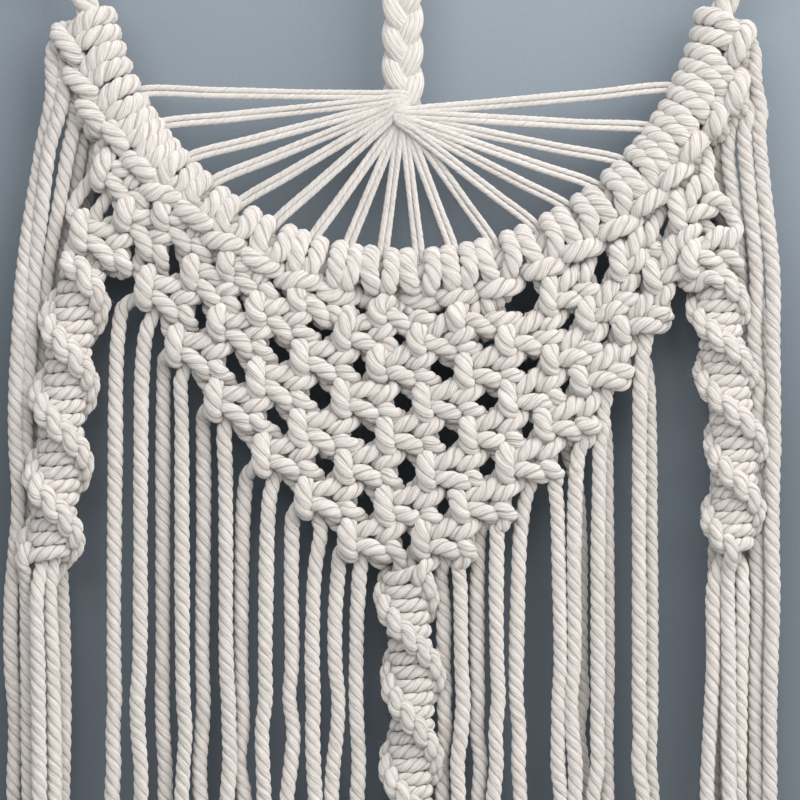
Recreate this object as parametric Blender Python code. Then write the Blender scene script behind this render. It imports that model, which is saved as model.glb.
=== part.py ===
"""Macrame wall hanging: a curved cord of lark's heads, a net of square knots, spirals, fringe and a string fan.

Metres, +Z up. The front faces -Y. The origin is the middle of the top edge, where the hanging is held, and
everything hangs below it.
"""
import math

import bmesh
import bpy
from mathutils import Matrix, Vector

# Driving dimensions
CORD_RADIUS = 0.0024
HOLDING_CORD_RADIUS = 0.0043
CLEARANCE = 0.0004
FRINGE_END_Z = -0.525

# The curve of lark's heads, a part of a circle that is open at the top
ARC_CENTRE = Vector((0.0005, 0.0, -0.0442))
ARC_RADIUS = 0.1075
ARC_HALF_ANGLE = math.radians(79.5)
HEADS = 24
WRAPS = 2 * HEADS
WRAP_RADIUS = 0.0074
WRAP_GROOVE_RADIUS = 0.0064
BAND_HALF_DEPTH = 0.0082
BAR_RISE = 0.0016
EDGE_HEADS = 3

# A square knot
KNOT_HALF_WIDTH = 0.0088
KNOT_HALF_DEPTH = 0.0060
KNOT_HALF_HEIGHT = 0.0060
BAR_GROOVE = 0.72
LOOP_SWELL = 1.28

# Two cords side by side, as they run from knot to knot. The section is given at six angles, in half widths,
# with a groove along the front and the back.
PAIR_HALF_WIDTH = 0.0044
PAIR_OFFSET = 0.0040
PAIR_RISE = 0.0032
PAIR_SECTION = {
    30: (1.0, 0.9), 90: (0.0, 0.5), 150: (-1.0, 0.9), 210: (-1.0, -0.9), 270: (0.0, -0.5), 330: (1.0, -0.9),
}
SLOT_PITCH = 0.0050
ROOT_LENGTH = 0.0035

# Rows of the net from the top. Each row lies on an arc that follows the curve above it.
NET_ROWS = (
    {"knots": 9, "z": -0.1663, "radius": 0.124, "pitch": 0.0268},
    {"knots": 8, "z": -0.1727, "radius": 0.144, "pitch": 0.0271},
    {"knots": 7, "z": -0.1830, "radius": 0.166, "pitch": 0.0277},
    {"knots": 6, "z": -0.1947, "radius": 0.173, "pitch": 0.0278},
    {"knots": 5, "z": -0.2057, "radius": 0.211, "pitch": 0.0278},
    {"knots": 4, "z": -0.2170, "radius": 0.200, "pitch": 0.0271},
    {"knots": 3, "z": -0.2293, "radius": 0.170, "pitch": 0.0260},
    {"knots": 2, "z": -0.2405, "radius": 0.170, "pitch": 0.0245},
)
NET_SLOPE = -0.045
SPIRAL_ROWS = 2

# Fringe below the two sloping edges of the net, counted from the middle outwards
FRINGE_SIDES = (
    {"name": "fringe_left", "side": -1, "first_x": 0.0160, "pitch": 0.0073, "sway": 0.0008},
    {"name": "fringe_right", "side": 1, "first_x": 0.0162, "pitch": 0.0061, "sway": 0.0006},
)
FRINGE_SETTLE = 0.020
FRINGE_STEPS = 5

# Spirals of half knots. Each one's middle line bows through three places, given as x and z.
HALF_KNOT_HEIGHT = 0.0054
HALF_KNOT_TURN = math.radians(38)
SPIRAL_GROOVE = 0.90
SPIRALS = (
    {"name": "spiral_left", "top": (-0.1080, -0.1450), "middle": (-0.1133, -0.1907), "low": (-0.1187, -0.2470),
     "half_width": 0.0104, "half_depth": 0.0058, "wide_z": -0.1650, "tail_x": -0.1205, "tail_low_x": -0.1200},
    {"name": "spiral_right", "top": (0.1077, -0.1510), "middle": (0.1073, -0.1857), "low": (0.1087, -0.2440),
     "half_width": 0.0098, "half_depth": 0.0056, "wide_z": -0.1637, "tail_x": 0.1080, "tail_low_x": 0.1060},
    {"name": "spiral_centre", "top": (0.0002, -0.2490), "middle": (0.0022, -0.3100), "low": (0.0030, -0.3710),
     "half_width": 0.0098, "half_depth": 0.0056, "wide_z": -0.2597, "tail_x": 0.0030, "tail_low_x": 0.0030},
)
TAIL_PITCH = 0.0056
TAIL_DEPTH = 0.0029

# Loose side cords: place at the band's level, beside the spiral and at the ends
SIDE_STRIP_RADIUS = 0.0036
SIDE_STRIP_ANGLES = (math.radians(58.5), math.radians(76.0))
SIDE_CORDS = (
    {"root": 0.95, "upper": (0.1190, 0.0000), "middle": (0.1292, -0.0010), "low": (0.1325, -0.0010)},
    {"root": 0.80, "upper": (0.1215, 0.0056), "middle": (0.1290, 0.0050), "low": (0.1325, 0.0050)},
    {"root": 0.60, "upper": (0.1140, 0.0130), "middle": (0.1245, 0.0150), "low": (0.1300, 0.0120)},
    {"root": 0.45, "upper": (0.1190, 0.0130), "middle": (0.1186, 0.0150), "low": (0.1240, 0.0120)},
    {"root": 0.25, "upper": (0.1085, 0.0140), "middle": (0.1128, 0.0150), "low": (0.1180, 0.0120)},
    {"root": 0.08, "upper": (0.1030, 0.0145), "middle": (0.1070, 0.0150), "low": (0.1120, 0.0120)},
)
SIDE_CORD_HEIGHTS = {"upper": -0.122, "middle": -0.175, "low": -0.290}

# Bare ends of the holding cord
HOLDING_LEAN = math.tan(math.radians(22))
HOLDING_LAY = 0.022

# Fan and braid of thin string
GATHER = Vector((-0.0003, -0.0010, -0.0955))
GATHER_RADIUS = 0.0068
STRING_RADIUS = 0.0010
STRING_ROOT_RADIUS = 0.0003
FAN_PAIRS = 18
FAN_HALF_ANGLE = math.radians(62.5)
BRAID_HALF_WIDTH = 0.0066
BRAID_HALF_DEPTH = 0.0042
BRAID_BUMP_PITCH = 0.0063

# Share of the triangles that a fused piece keeps
KEPT_SHARE = 0.8

COTTON = (0.86, 0.81, 0.74, 1.0)
COTTON_ROUGHNESS = 0.92


def clear_scene():
    """Remove every object."""
    for old in list(bpy.data.objects):
        bpy.data.objects.remove(old, do_unlink=True)


def new_collection(name):
    """A collection linked to the scene."""
    collection = bpy.data.collections.new(name)
    bpy.context.scene.collection.children.link(collection)
    return collection


def cotton_material(name):
    """Undyed cotton: matt and off-white."""
    material = bpy.data.materials.new(name)
    material.use_nodes = True
    shader = material.node_tree.nodes["Principled BSDF"]
    shader.inputs["Base Color"].default_value = COTTON
    shader.inputs["Roughness"].default_value = COTTON_ROUGHNESS
    shader.inputs["Metallic"].default_value = 0.0
    return material


def object_from_bmesh(name, bm, collection):
    """A mesh object made from a bmesh, with its faces pointing out."""
    bmesh.ops.recalc_face_normals(bm, faces=bm.faces)
    mesh = bpy.data.meshes.new(name)
    bm.to_mesh(mesh)
    bm.free()
    piece = bpy.data.objects.new(name, mesh)
    collection.objects.link(piece)
    return piece


def finish_part(piece):
    """Give a visible piece its cotton and smooth shading."""
    piece.data.materials.append(cotton_material(piece.name + "_cotton"))
    piece.data.shade_smooth()
    piece.data.set_sharp_from_angle(angle=math.radians(50))


def ridged_column(sides, steps, step, turn, section):
    """A column from height 0 downwards, made by spinning a ring.

    section(k, angle) gives the width and depth factors of ring k at an angle that turns with the column.
    """
    bm = bmesh.new()
    ring = bmesh.ops.create_circle(bm, segments=sides, radius=1.0, cap_ends=False)["verts"]
    edges = {edge for vert in ring for edge in vert.link_edges}
    bmesh.ops.spin(bm, geom=ring + list(edges), cent=(0, 0, 0), axis=(0, 0, 1), dvec=(0, 0, -step),
                   angle=turn * steps, steps=steps)
    bmesh.ops.holes_fill(bm, edges=bm.edges, sides=0)
    for vert in bm.verts:
        k = round(-vert.co.z / step)
        own_angle = math.atan2(vert.co.y, vert.co.x) - turn * k
        width, depth = section(k, own_angle % math.tau)
        own = Vector((width * math.cos(own_angle), depth * math.sin(own_angle), vert.co.z))
        vert.co = Matrix.Rotation(turn * k, 3, "Z") @ own
    return bm


def smooth_path(points, count):
    """Points of a smooth curve through the given points, by cubic interpolation."""
    padded = [points[0]] + list(points) + [points[-1]]
    path = []
    for index in range(count):
        place = index / (count - 1) * (len(points) - 1)
        start = min(int(place), len(points) - 2)
        t = place - start
        a, b, c, d = (padded[start + n] for n in range(4))
        path.append(0.5 * ((2 * b) + (c - a) * t + (2 * a - 5 * b + 4 * c - d) * t ** 2
                           + (3 * b - a - 3 * c + d) * t ** 3))
    return path


def strand(name, points, collection, radius=CORD_RADIUS, end_radius=None):
    """A four-sided strand through the points, as a closed mesh."""
    curve = bpy.data.curves.new(name, "CURVE")
    curve.dimensions = "3D"
    curve.bevel_depth = radius
    curve.bevel_resolution = 0
    curve.use_fill_caps = True
    spline = curve.splines.new("POLY")
    spline.points.add(len(points) - 1)
    for index, (point, place) in enumerate(zip(spline.points, points)):
        point.co = (*place, 1.0)
        if end_radius:
            share = index / (len(points) - 1)
            point.radius = 1 + share * (end_radius / radius - 1)
    source = bpy.data.objects.new(name + "_curve", curve)
    collection.objects.link(source)
    evaluated = source.evaluated_get(bpy.context.evaluated_depsgraph_get())
    bm = bmesh.new()
    bm.from_mesh(bpy.data.meshes.new_from_object(evaluated))
    bmesh.ops.remove_doubles(bm, verts=bm.verts, dist=0.00001)
    bm.transform(source.matrix_world)
    bpy.data.objects.remove(source, do_unlink=True)
    return object_from_bmesh(name, bm, collection)


def fuse(body, tools):
    """Join the pieces of a collection to a body with an exact union, and thin its mesh out a little."""
    for tool in tools.objects:
        tool.hide_render = True
        tool.display_type = "WIRE"
    union = body.modifiers.new("fused", "BOOLEAN")
    union.operation = "UNION"
    union.solver = "EXACT"
    union.operand_type = "COLLECTION"
    union.collection = tools
    lighter = body.modifiers.new("lighter", "DECIMATE")
    lighter.ratio = KEPT_SHARE


def on_arc(angle, radius, depth=0.0):
    """A point at an angle from straight down, counted towards +X, around the arc's centre."""
    return ARC_CENTRE + Vector((radius * math.sin(angle), depth, -radius * math.cos(angle)))


def lark_head_band(collection):
    """The holding cord inside its lark's heads: two wraps a head and a bar across them in front."""
    rings_per_wrap = 2
    steps = WRAPS * rings_per_wrap
    step_angle = 2 * ARC_HALF_ANGLE / steps

    def section(k, angle):
        crest = k % rings_per_wrap == 1
        size = WRAP_RADIUS if crest else WRAP_GROOVE_RADIUS
        depth = BAND_HALF_DEPTH if crest else BAND_HALF_DEPTH * WRAP_GROOVE_RADIUS / WRAP_RADIUS
        rings_per_head = 2 * rings_per_wrap
        in_bar = abs(math.degrees(angle) - 315) < 30 and k % rings_per_head != 0
        rise = BAR_RISE if in_bar else 0.0
        return size + rise, depth + rise

    bm = ridged_column(8, steps, step_angle, 0.0, section)
    for vert in bm.verts:
        angle = -ARC_HALF_ANGLE - vert.co.z
        vert.co = on_arc(angle, ARC_RADIUS + vert.co.x, vert.co.y)
    return object_from_bmesh("knotted_net", bm, collection)


def knot_centre(size, index):
    """The centre of a knot in a row of the net."""
    angle = (index - (size["knots"] - 1) / 2) * size["pitch"] / size["radius"]
    x = size["radius"] * math.sin(angle)
    z = size["z"] + size["radius"] * (1 - math.cos(angle)) + NET_SLOPE * x
    return Vector((x, 0.0, z))


def square_knot(name, centre, collection):
    """One square knot: two bars across the front, a groove between them, and a loop that bulges at the left."""
    bm = bmesh.new()
    along_x = Matrix.Rotation(math.radians(90), 4, "Y")
    bmesh.ops.create_uvsphere(bm, u_segments=8, v_segments=4, radius=1.0, matrix=along_x)
    for vert in bm.verts:
        front = vert.co.y < -0.5 and abs(vert.co.z) < 0.1
        loop = -0.8 < vert.co.x < -0.5
        if front and abs(vert.co.x) < 0.1:
            vert.co.y *= BAR_GROOVE
        if loop:
            vert.co.y *= LOOP_SWELL if front else 1.0
            vert.co.z *= LOOP_SWELL
    bmesh.ops.scale(bm, vec=(KNOT_HALF_WIDTH, KNOT_HALF_DEPTH, KNOT_HALF_HEIGHT), verts=bm.verts)
    bmesh.ops.translate(bm, vec=centre, verts=bm.verts)
    return object_from_bmesh(name, bm, collection)


def pair_place(centre, side, level):
    """Where a pair of cords goes into (level 1) or leaves (level -1) a knot, at its left (-1) or right (1)."""
    return centre + Vector((side * PAIR_OFFSET, 0.0, level * PAIR_RISE))


def pair_link(name, start, end, collection):
    """Two cords side by side from one knot to the next: a flat strand with a groove along its front."""
    bm = bmesh.new()
    along = end - start
    bmesh.ops.create_cone(bm, segments=6, radius1=1.0, radius2=1.0, depth=along.length, cap_ends=True)
    for vert in bm.verts:
        angle = round(math.degrees(math.atan2(vert.co.y, vert.co.x))) % 360
        place = PAIR_SECTION[angle]
        vert.co.x, vert.co.y = place[0] * PAIR_HALF_WIDTH, place[1] * CORD_RADIUS
    tilt = math.atan2(along.x, along.z)
    bmesh.ops.rotate(bm, cent=(0, 0, 0), matrix=Matrix.Rotation(tilt, 3, "Y"), verts=bm.verts)
    bmesh.ops.translate(bm, vec=(start + end) / 2, verts=bm.verts)
    return object_from_bmesh(name, bm, collection)


def net_plan():
    """Plan the net from the band down.

    Returns the knots' centres, the start and end of each pair between them, and the pairs that leave the net
    for a spiral or for the fringe of a side.
    """
    first = -ARC_HALF_ANGLE * (1 - 2 * EDGE_HEADS / HEADS)
    head_angle = 2 * ARC_HALF_ANGLE / HEADS
    waiting = [on_arc(first + head_angle * (head + 0.5), ARC_RADIUS + HOLDING_CORD_RADIUS)
               for head in range(HEADS - 2 * EDGE_HEADS)]
    knots, links = [], []
    leaving = {"spiral_left": [], "spiral_right": [], "spiral_centre": [], "fringe_left": [], "fringe_right": []}
    for row, size in enumerate(NET_ROWS):
        centres = [knot_centre(size, index) for index in range(size["knots"])]
        knots.extend(centres)
        goals = [pair_place(centre, side, 1) for centre in centres for side in (-1, 1)]
        links.extend(zip(waiting, goals))
        outs = [pair_place(centre, side, -1) for centre in centres for side in (-1, 1)]
        kind = "spiral" if row < SPIRAL_ROWS else "fringe"
        leaving[kind + "_left"].append(outs[0])
        leaving[kind + "_right"].append(outs[-1])
        waiting = outs[1:-1]
    leaving["spiral_right"].reverse()
    leaving["spiral_centre"] = waiting
    return knots, links, leaving


def fringe_strands(pairs, size, tools):
    """Let the pairs that leave one sloping edge hang straight down as single cords, a pitch apart."""
    count = 0
    for place in reversed(pairs):
        for inner in (-1, 1):
            x = size["side"] * (size["first_x"] + count * size["pitch"])
            root = place + Vector((size["side"] * inner * PAIR_HALF_WIDTH / 2, 0.0, 0.0))
            top = place.z - FRINGE_SETTLE
            points = [root]
            for step in range(FRINGE_STEPS):
                share = step / (FRINGE_STEPS - 1)
                free = 0 < step < FRINGE_STEPS - 1
                sway = size["sway"] * math.sin(2.1 * count + 5.0 * share) if free else 0.0
                points.append(Vector((x + sway, 0.0, top + (FRINGE_END_Z - top) * share)))
            strand(f"{size['name']}_{count}", points, tools)
            count += 1


def spiral_roots(pairs, size, tools):
    """Bring the two pairs of a spiral side by side to just above its flat top."""
    top_x, top_z = size["top"]
    for slot in range(4):
        root = pairs[slot // 2] + Vector(((slot % 2 - 0.5) * PAIR_HALF_WIDTH, 0.0, 0.0))
        x = top_x + (slot - 1.5) * SLOT_PITCH
        points = [root, Vector((x, 0.0, top_z + ROOT_LENGTH)), Vector((x, 0.0, top_z + CLEARANCE))]
        strand(f"{size['name']}_root_{slot}", points, tools)


def knotted_net(collection, tools):
    """The band, the net of knots, its cords and the fringe, to be fused at the knots."""
    band = lark_head_band(collection)
    knots, links, leaving = net_plan()
    for index, centre in enumerate(knots):
        square_knot(f"knot_{index}", centre, tools)
    for index, (start, end) in enumerate(links):
        pair_link(f"link_{index}", start, end, tools)
    for size in FRINGE_SIDES:
        fringe_strands(leaving[size["name"]], size, tools)
    for size in SPIRALS:
        spiral_roots(leaving[size["name"]], size, tools)
    finish_part(band)
    return band


def spiral(size, collection, tools):
    """A spiral of half knots with its four loose tails."""
    top, middle, low = (Vector((x, 0.0, z)) for x, z in (size["top"], size["middle"], size["low"]))
    step = HALF_KNOT_HEIGHT / 2
    turn = HALF_KNOT_TURN / 2
    steps = round((top.z - low.z) / step)

    def section(k, angle):
        groove = SPIRAL_GROOVE if k % 2 == 0 else 1.0
        return size["half_width"] * groove, size["half_depth"] * groove

    bm = ridged_column(8, steps, step, turn, section)
    phase = -turn * (top.z - size["wide_z"]) / step
    bmesh.ops.rotate(bm, cent=(0, 0, 0), matrix=Matrix.Rotation(phase, 3, "Z"), verts=bm.verts)
    for vert in bm.verts:
        share = -vert.co.z / (steps * step)
        line = top.lerp(low, share)
        bow = 4 * share * (1 - share) * (middle.x - (top.x + low.x) / 2)
        vert.co = Vector((vert.co.x + line.x + bow, vert.co.y, vert.co.z + top.z))
    body = object_from_bmesh(size["name"], bm, collection)
    bottom = top.z - steps * step
    side = math.copysign(1, size["tail_x"])
    slots = ((-1, -TAIL_DEPTH), (0, -TAIL_DEPTH), (1, -TAIL_DEPTH), (0, TAIL_DEPTH))
    for count, (slot, depth) in enumerate(slots):
        x = size["tail_x"] + slot * TAIL_PITCH
        low_x = size["tail_low_x"] + slot * TAIL_PITCH
        points = [Vector((low.x + slot * 0.004, depth * 0.7, bottom + 0.006)),
                  Vector((x, depth, bottom - 0.012)),
                  Vector((low_x + side * 0.0006, depth, (bottom + FRINGE_END_Z) / 2)),
                  Vector((low_x, depth, FRINGE_END_Z))]
        strand(f"{size['name']}_tail_{count}", smooth_path(points, 8), tools)
    finish_part(body)
    return body


def side_cords(name, side, collection, tools):
    """Six loose cords that hang from the bars of the three outer heads."""
    first, last = SIDE_STRIP_ANGLES
    steps = 2 * EDGE_HEADS
    sides = 6
    radius = ARC_RADIUS + WRAP_RADIUS + CLEARANCE + SIDE_STRIP_RADIUS * math.cos(math.pi / sides)

    def section(k, angle):
        size = SIDE_STRIP_RADIUS if k % 2 else SIDE_STRIP_RADIUS * 0.82
        return size, size

    bm = ridged_column(sides, steps, (last - first) / steps, 0.0, section)
    for vert in bm.verts:
        vert.co = on_arc(side * (first - vert.co.z), radius + vert.co.x, vert.co.y)
    strip = object_from_bmesh(name, bm, collection)
    for count, size in enumerate(SIDE_CORDS):
        root = on_arc(side * (first + (last - first) * size["root"]), radius)
        points = [root]
        for height, z in SIDE_CORD_HEIGHTS.items():
            x, y = size[height]
            points.append(Vector((side * x, y, z)))
        x, y = size["low"]
        points.append(Vector((side * x, y, FRINGE_END_Z)))
        strand(f"{name}_{count}", smooth_path(points, 11), tools)
    finish_part(strip)
    return strip


def holding_cord(name, side, collection):
    """A bare end of the holding cord, a thick three-ply rope that leans outward up to the top edge."""
    foot = on_arc(side * ARC_HALF_ANGLE, ARC_RADIUS)
    foot_z = foot.z + HOLDING_CORD_RADIUS / math.tan(ARC_HALF_ANGLE) + CLEARANCE
    plies = 3
    steps_per_lay = 8
    step = HOLDING_LAY / steps_per_lay
    steps = math.ceil(-foot_z / step)
    step = -foot_z / steps

    def section(k, angle):
        crest = int(angle / math.tau * 2 * plies) % 2 == 0
        size = HOLDING_CORD_RADIUS if crest else HOLDING_CORD_RADIUS * 0.80
        return size, size

    bm = ridged_column(2 * plies, steps, step, math.tau / steps_per_lay, section)
    for vert in bm.verts:
        lean = side * HOLDING_LEAN * (vert.co.z - foot_z)
        vert.co.x += foot.x + lean
    piece = object_from_bmesh(name, bm, collection)
    finish_part(piece)
    return piece


def fan_and_braid(collection, tools):
    """Thin strings: braided in three above the gather, fanned out in pairs to the band below it."""
    steps = round(-GATHER.z / (BRAID_BUMP_PITCH / 2))
    step = -GATHER.z / steps

    def section(k, angle):
        place = k * step / BRAID_BUMP_PITCH * math.tau
        side = math.cos(angle)
        bump = 0.13 * side * math.cos(place) + 0.06 * abs(math.sin(angle)) * math.cos(2 * place)
        return BRAID_HALF_WIDTH * (1 + bump), BRAID_HALF_DEPTH * (1 + bump)

    bm = ridged_column(8, steps, step, 0.0, section)
    for vert in bm.verts:
        share = vert.co.z / GATHER.z
        vert.co += Vector((GATHER.x, GATHER.y, 0.0)) * share
    braid = object_from_bmesh("fan_and_braid", bm, collection)

    bm = bmesh.new()
    bmesh.ops.create_uvsphere(bm, u_segments=8, v_segments=5, radius=GATHER_RADIUS)
    bmesh.ops.scale(bm, vec=(1.1, 0.72, 1.0), verts=bm.verts)
    bmesh.ops.translate(bm, vec=GATHER, verts=bm.verts)
    object_from_bmesh("gather", bm, tools)

    strings = 2 * FAN_PAIRS
    inner_radius = ARC_RADIUS - WRAP_RADIUS - CLEARANCE
    for string in range(strings):
        pair, which = divmod(string, 2)
        angle = (pair / (FAN_PAIRS - 1) - 0.5) * 2 * FAN_HALF_ANGLE
        angle += (which - 0.5) * 2.4 * STRING_RADIUS / inner_radius
        end = on_arc(angle, inner_radius)
        root_angle = (string / (strings - 1) - 0.5) * math.radians(168)
        root = GATHER + 0.55 * GATHER_RADIUS * Vector((math.sin(root_angle), 0.0, -math.cos(root_angle)))
        strand(f"fan_string_{string}", [root, end], tools, STRING_ROOT_RADIUS, STRING_RADIUS)
    finish_part(braid)
    return braid


def main():
    """Build the hanging piece by piece, then fuse the cords of each piece at its knots."""
    clear_scene()
    parts = new_collection("macrame_wall_hanging")
    builders = {"net": knotted_net, "fan": fan_and_braid}
    fused = []
    for name, builder in builders.items():
        tools = new_collection(name + "_tools")
        fused.append((builder(parts, tools), tools))
    for size in SPIRALS:
        tools = new_collection(size["name"] + "_tools")
        fused.append((spiral(size, parts, tools), tools))
    for side, name in ((-1, "left"), (1, "right")):
        tools = new_collection(f"side_{name}_tools")
        fused.append((side_cords(f"side_cords_{name}", side, parts, tools), tools))
        holding_cord(f"holding_cord_{name}", side, parts)
    for body, tools in fused:
        fuse(body, tools)


main()
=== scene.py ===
"""Looks of a macrame wall hanging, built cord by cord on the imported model.

Every working cord is laid through its lark's head and knots, settled against its neighbours, and then made
as a twisted three-ply rope. Routes are laid out in millimetres, and meshes are in metres. The front faces -Y.
"""
import logging
import math
from dataclasses import dataclass, field
from enum import Enum

import bmesh
import bpy
import numpy as np
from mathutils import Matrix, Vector


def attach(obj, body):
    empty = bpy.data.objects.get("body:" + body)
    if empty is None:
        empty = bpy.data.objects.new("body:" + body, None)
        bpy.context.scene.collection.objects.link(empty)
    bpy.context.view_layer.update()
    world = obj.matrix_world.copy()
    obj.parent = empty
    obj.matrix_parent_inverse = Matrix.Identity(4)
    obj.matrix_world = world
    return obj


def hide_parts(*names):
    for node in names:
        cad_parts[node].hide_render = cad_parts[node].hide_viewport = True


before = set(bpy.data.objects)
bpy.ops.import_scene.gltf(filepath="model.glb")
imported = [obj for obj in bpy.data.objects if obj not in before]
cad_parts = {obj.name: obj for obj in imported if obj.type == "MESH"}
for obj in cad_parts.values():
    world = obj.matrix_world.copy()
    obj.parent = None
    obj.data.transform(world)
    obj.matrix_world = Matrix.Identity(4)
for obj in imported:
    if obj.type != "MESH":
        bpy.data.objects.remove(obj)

log = logging.getLogger("wall_hanging")

MM = 0.001
PIXELS_PER_MM = 3.0
AXIS_PIXEL = 404.0
TOP_EDGE_PIXEL = -180.0
LOWEST = -525.0

ARC_CENTRE = np.array((0.5, 0.0, -44.2))
ARC_RADIUS = 107.5
CORE_RADIUS = 4.0
CORD_RADIUS = 2.5
TOUCH_RADIUS = 2.0

# Points tried between two places when a smooth line is drawn
FINE_STEPS = 9

UPRIGHT = np.array((0.0, 0.0, 1.0))
DEEP = np.array((0.0, 1.0, 0.0))

Point = np.ndarray
Colour = tuple[float, float, float]


def place(px: float, py: float, depth: float = 0.0) -> Point:
    """Turn a place in the picture into millimetres in the frame.

    Args:
        px: Column in the picture.
        py: Row in the picture, counted down.
        depth: Distance behind the middle plane, in millimetres. The front is negative.

    Returns:
        The point.
    """
    return np.array(((px - AXIS_PIXEL) / PIXELS_PER_MM, depth, -(py - TOP_EDGE_PIXEL) / PIXELS_PER_MM))


def around_arc(angle: float, radius: float, depth: float = 0.0) -> Point:
    """Return a point around the curve's centre, by its angle from straight down, in degrees to the right."""
    turn = math.radians(angle)
    return ARC_CENTRE + np.array((radius * math.sin(turn), depth, -radius * math.cos(turn)))


class End(Enum):
    """The two ends of a folded cord."""

    LEFT = -1
    RIGHT = 1


class Slot(Enum):
    """The four cords of a knot, from left to right."""

    LEFT = 0
    FIRST = 1
    SECOND = 2
    RIGHT = 3


@dataclass
class Route:
    """One hanging end of a cord, as the places it passes from its bar down to its cut end."""

    points: list[Point] = field(default_factory=list)
    traits: list[tuple[float, float, float]] = field(default_factory=list)

    def add(self, point: Point, hold: float = 0.03, girth: float = 1.0, flat: float = 0.04) -> None:
        """Append a place.

        Args:
            point: The place.
            hold: Share by which the cord is drawn back there while the cords settle.
            girth: The cord's thickness there, as a share of its own.
            flat: How much wider the cord is there across the front than it is deep.
        """
        self.points.append(point)
        self.traits.append((hold, girth, flat))


def smooth_line(points: np.ndarray, spacing: float, traits: np.ndarray) -> tuple[np.ndarray, np.ndarray]:
    """Draw a smooth line through points and divide it evenly.

    Args:
        points: Places the line goes through, one row each.
        spacing: Distance between the new points.
        traits: A row of values at each place, carried over to the new points.

    Returns:
        The new points and their values.
    """
    gaps = np.sqrt(np.linalg.norm(np.diff(points, axis=0), axis=1))
    knots = np.concatenate(([0.0], np.cumsum(np.maximum(gaps, 1e-4))))
    slopes = np.gradient(points, knots, axis=0)
    spans = [np.linspace(knots[i], knots[i + 1], FINE_STEPS)[:-1] for i in range(len(knots) - 1)]
    fine = np.concatenate(spans + [knots[-1:]])
    start = np.clip(np.searchsorted(knots, fine, side="right") - 1, 0, len(knots) - 2)
    width = (knots[start + 1] - knots[start])[:, None]
    t = (fine[:, None] - knots[start][:, None]) / width
    line = ((2 * t ** 3 - 3 * t ** 2 + 1) * points[start] + (t ** 3 - 2 * t ** 2 + t) * width * slopes[start]
            + (3 * t ** 2 - 2 * t ** 3) * points[start + 1] + (t ** 3 - t ** 2) * width * slopes[start + 1])
    run = np.concatenate(([0.0], np.cumsum(np.linalg.norm(np.diff(line, axis=0), axis=1))))
    count = max(3, int(round(run[-1] / spacing)) + 1)
    even = np.linspace(0.0, run[-1], count)
    made = np.stack([np.interp(even, run, line[:, axis]) for axis in range(3)], axis=1)
    where = np.interp(even, run, fine)
    return made, np.stack([np.interp(where, knots, column) for column in traits.T], axis=1)


def close_pairs(points: np.ndarray, reach: float) -> tuple[np.ndarray, np.ndarray]:
    """Find pairs of points that lie near each other.

    Args:
        points: The points.
        reach: Largest distance of a pair.

    Returns:
        The first and the second point's index of every pair.
    """
    cells = np.floor((points - points.min(axis=0)) / reach).astype(np.int64) + 1
    weights = np.array((1, 4096, 4096 * 4096))
    key = cells @ weights
    order = np.argsort(key, kind="stable")
    ordered = key[order]
    firsts, seconds = [], []
    for dx in (-1, 0, 1):
        for dy in (-1, 0, 1):
            for dz in (-1, 0, 1):
                goal = key + np.array((dx, dy, dz)) @ weights
                low = np.searchsorted(ordered, goal, side="left")
                count = np.searchsorted(ordered, goal, side="right") - low
                first = np.repeat(np.arange(len(points)), count)
                offset = np.arange(count.sum()) - np.repeat(np.cumsum(count) - count, count)
                second = order[np.repeat(low, count) + offset]
                keep = first < second
                firsts.append(first[keep])
                seconds.append(second[keep])
    first, second = np.concatenate(firsts), np.concatenate(seconds)
    near = np.linalg.norm(points[first] - points[second], axis=1) < reach
    return first[near], second[near]


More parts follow.
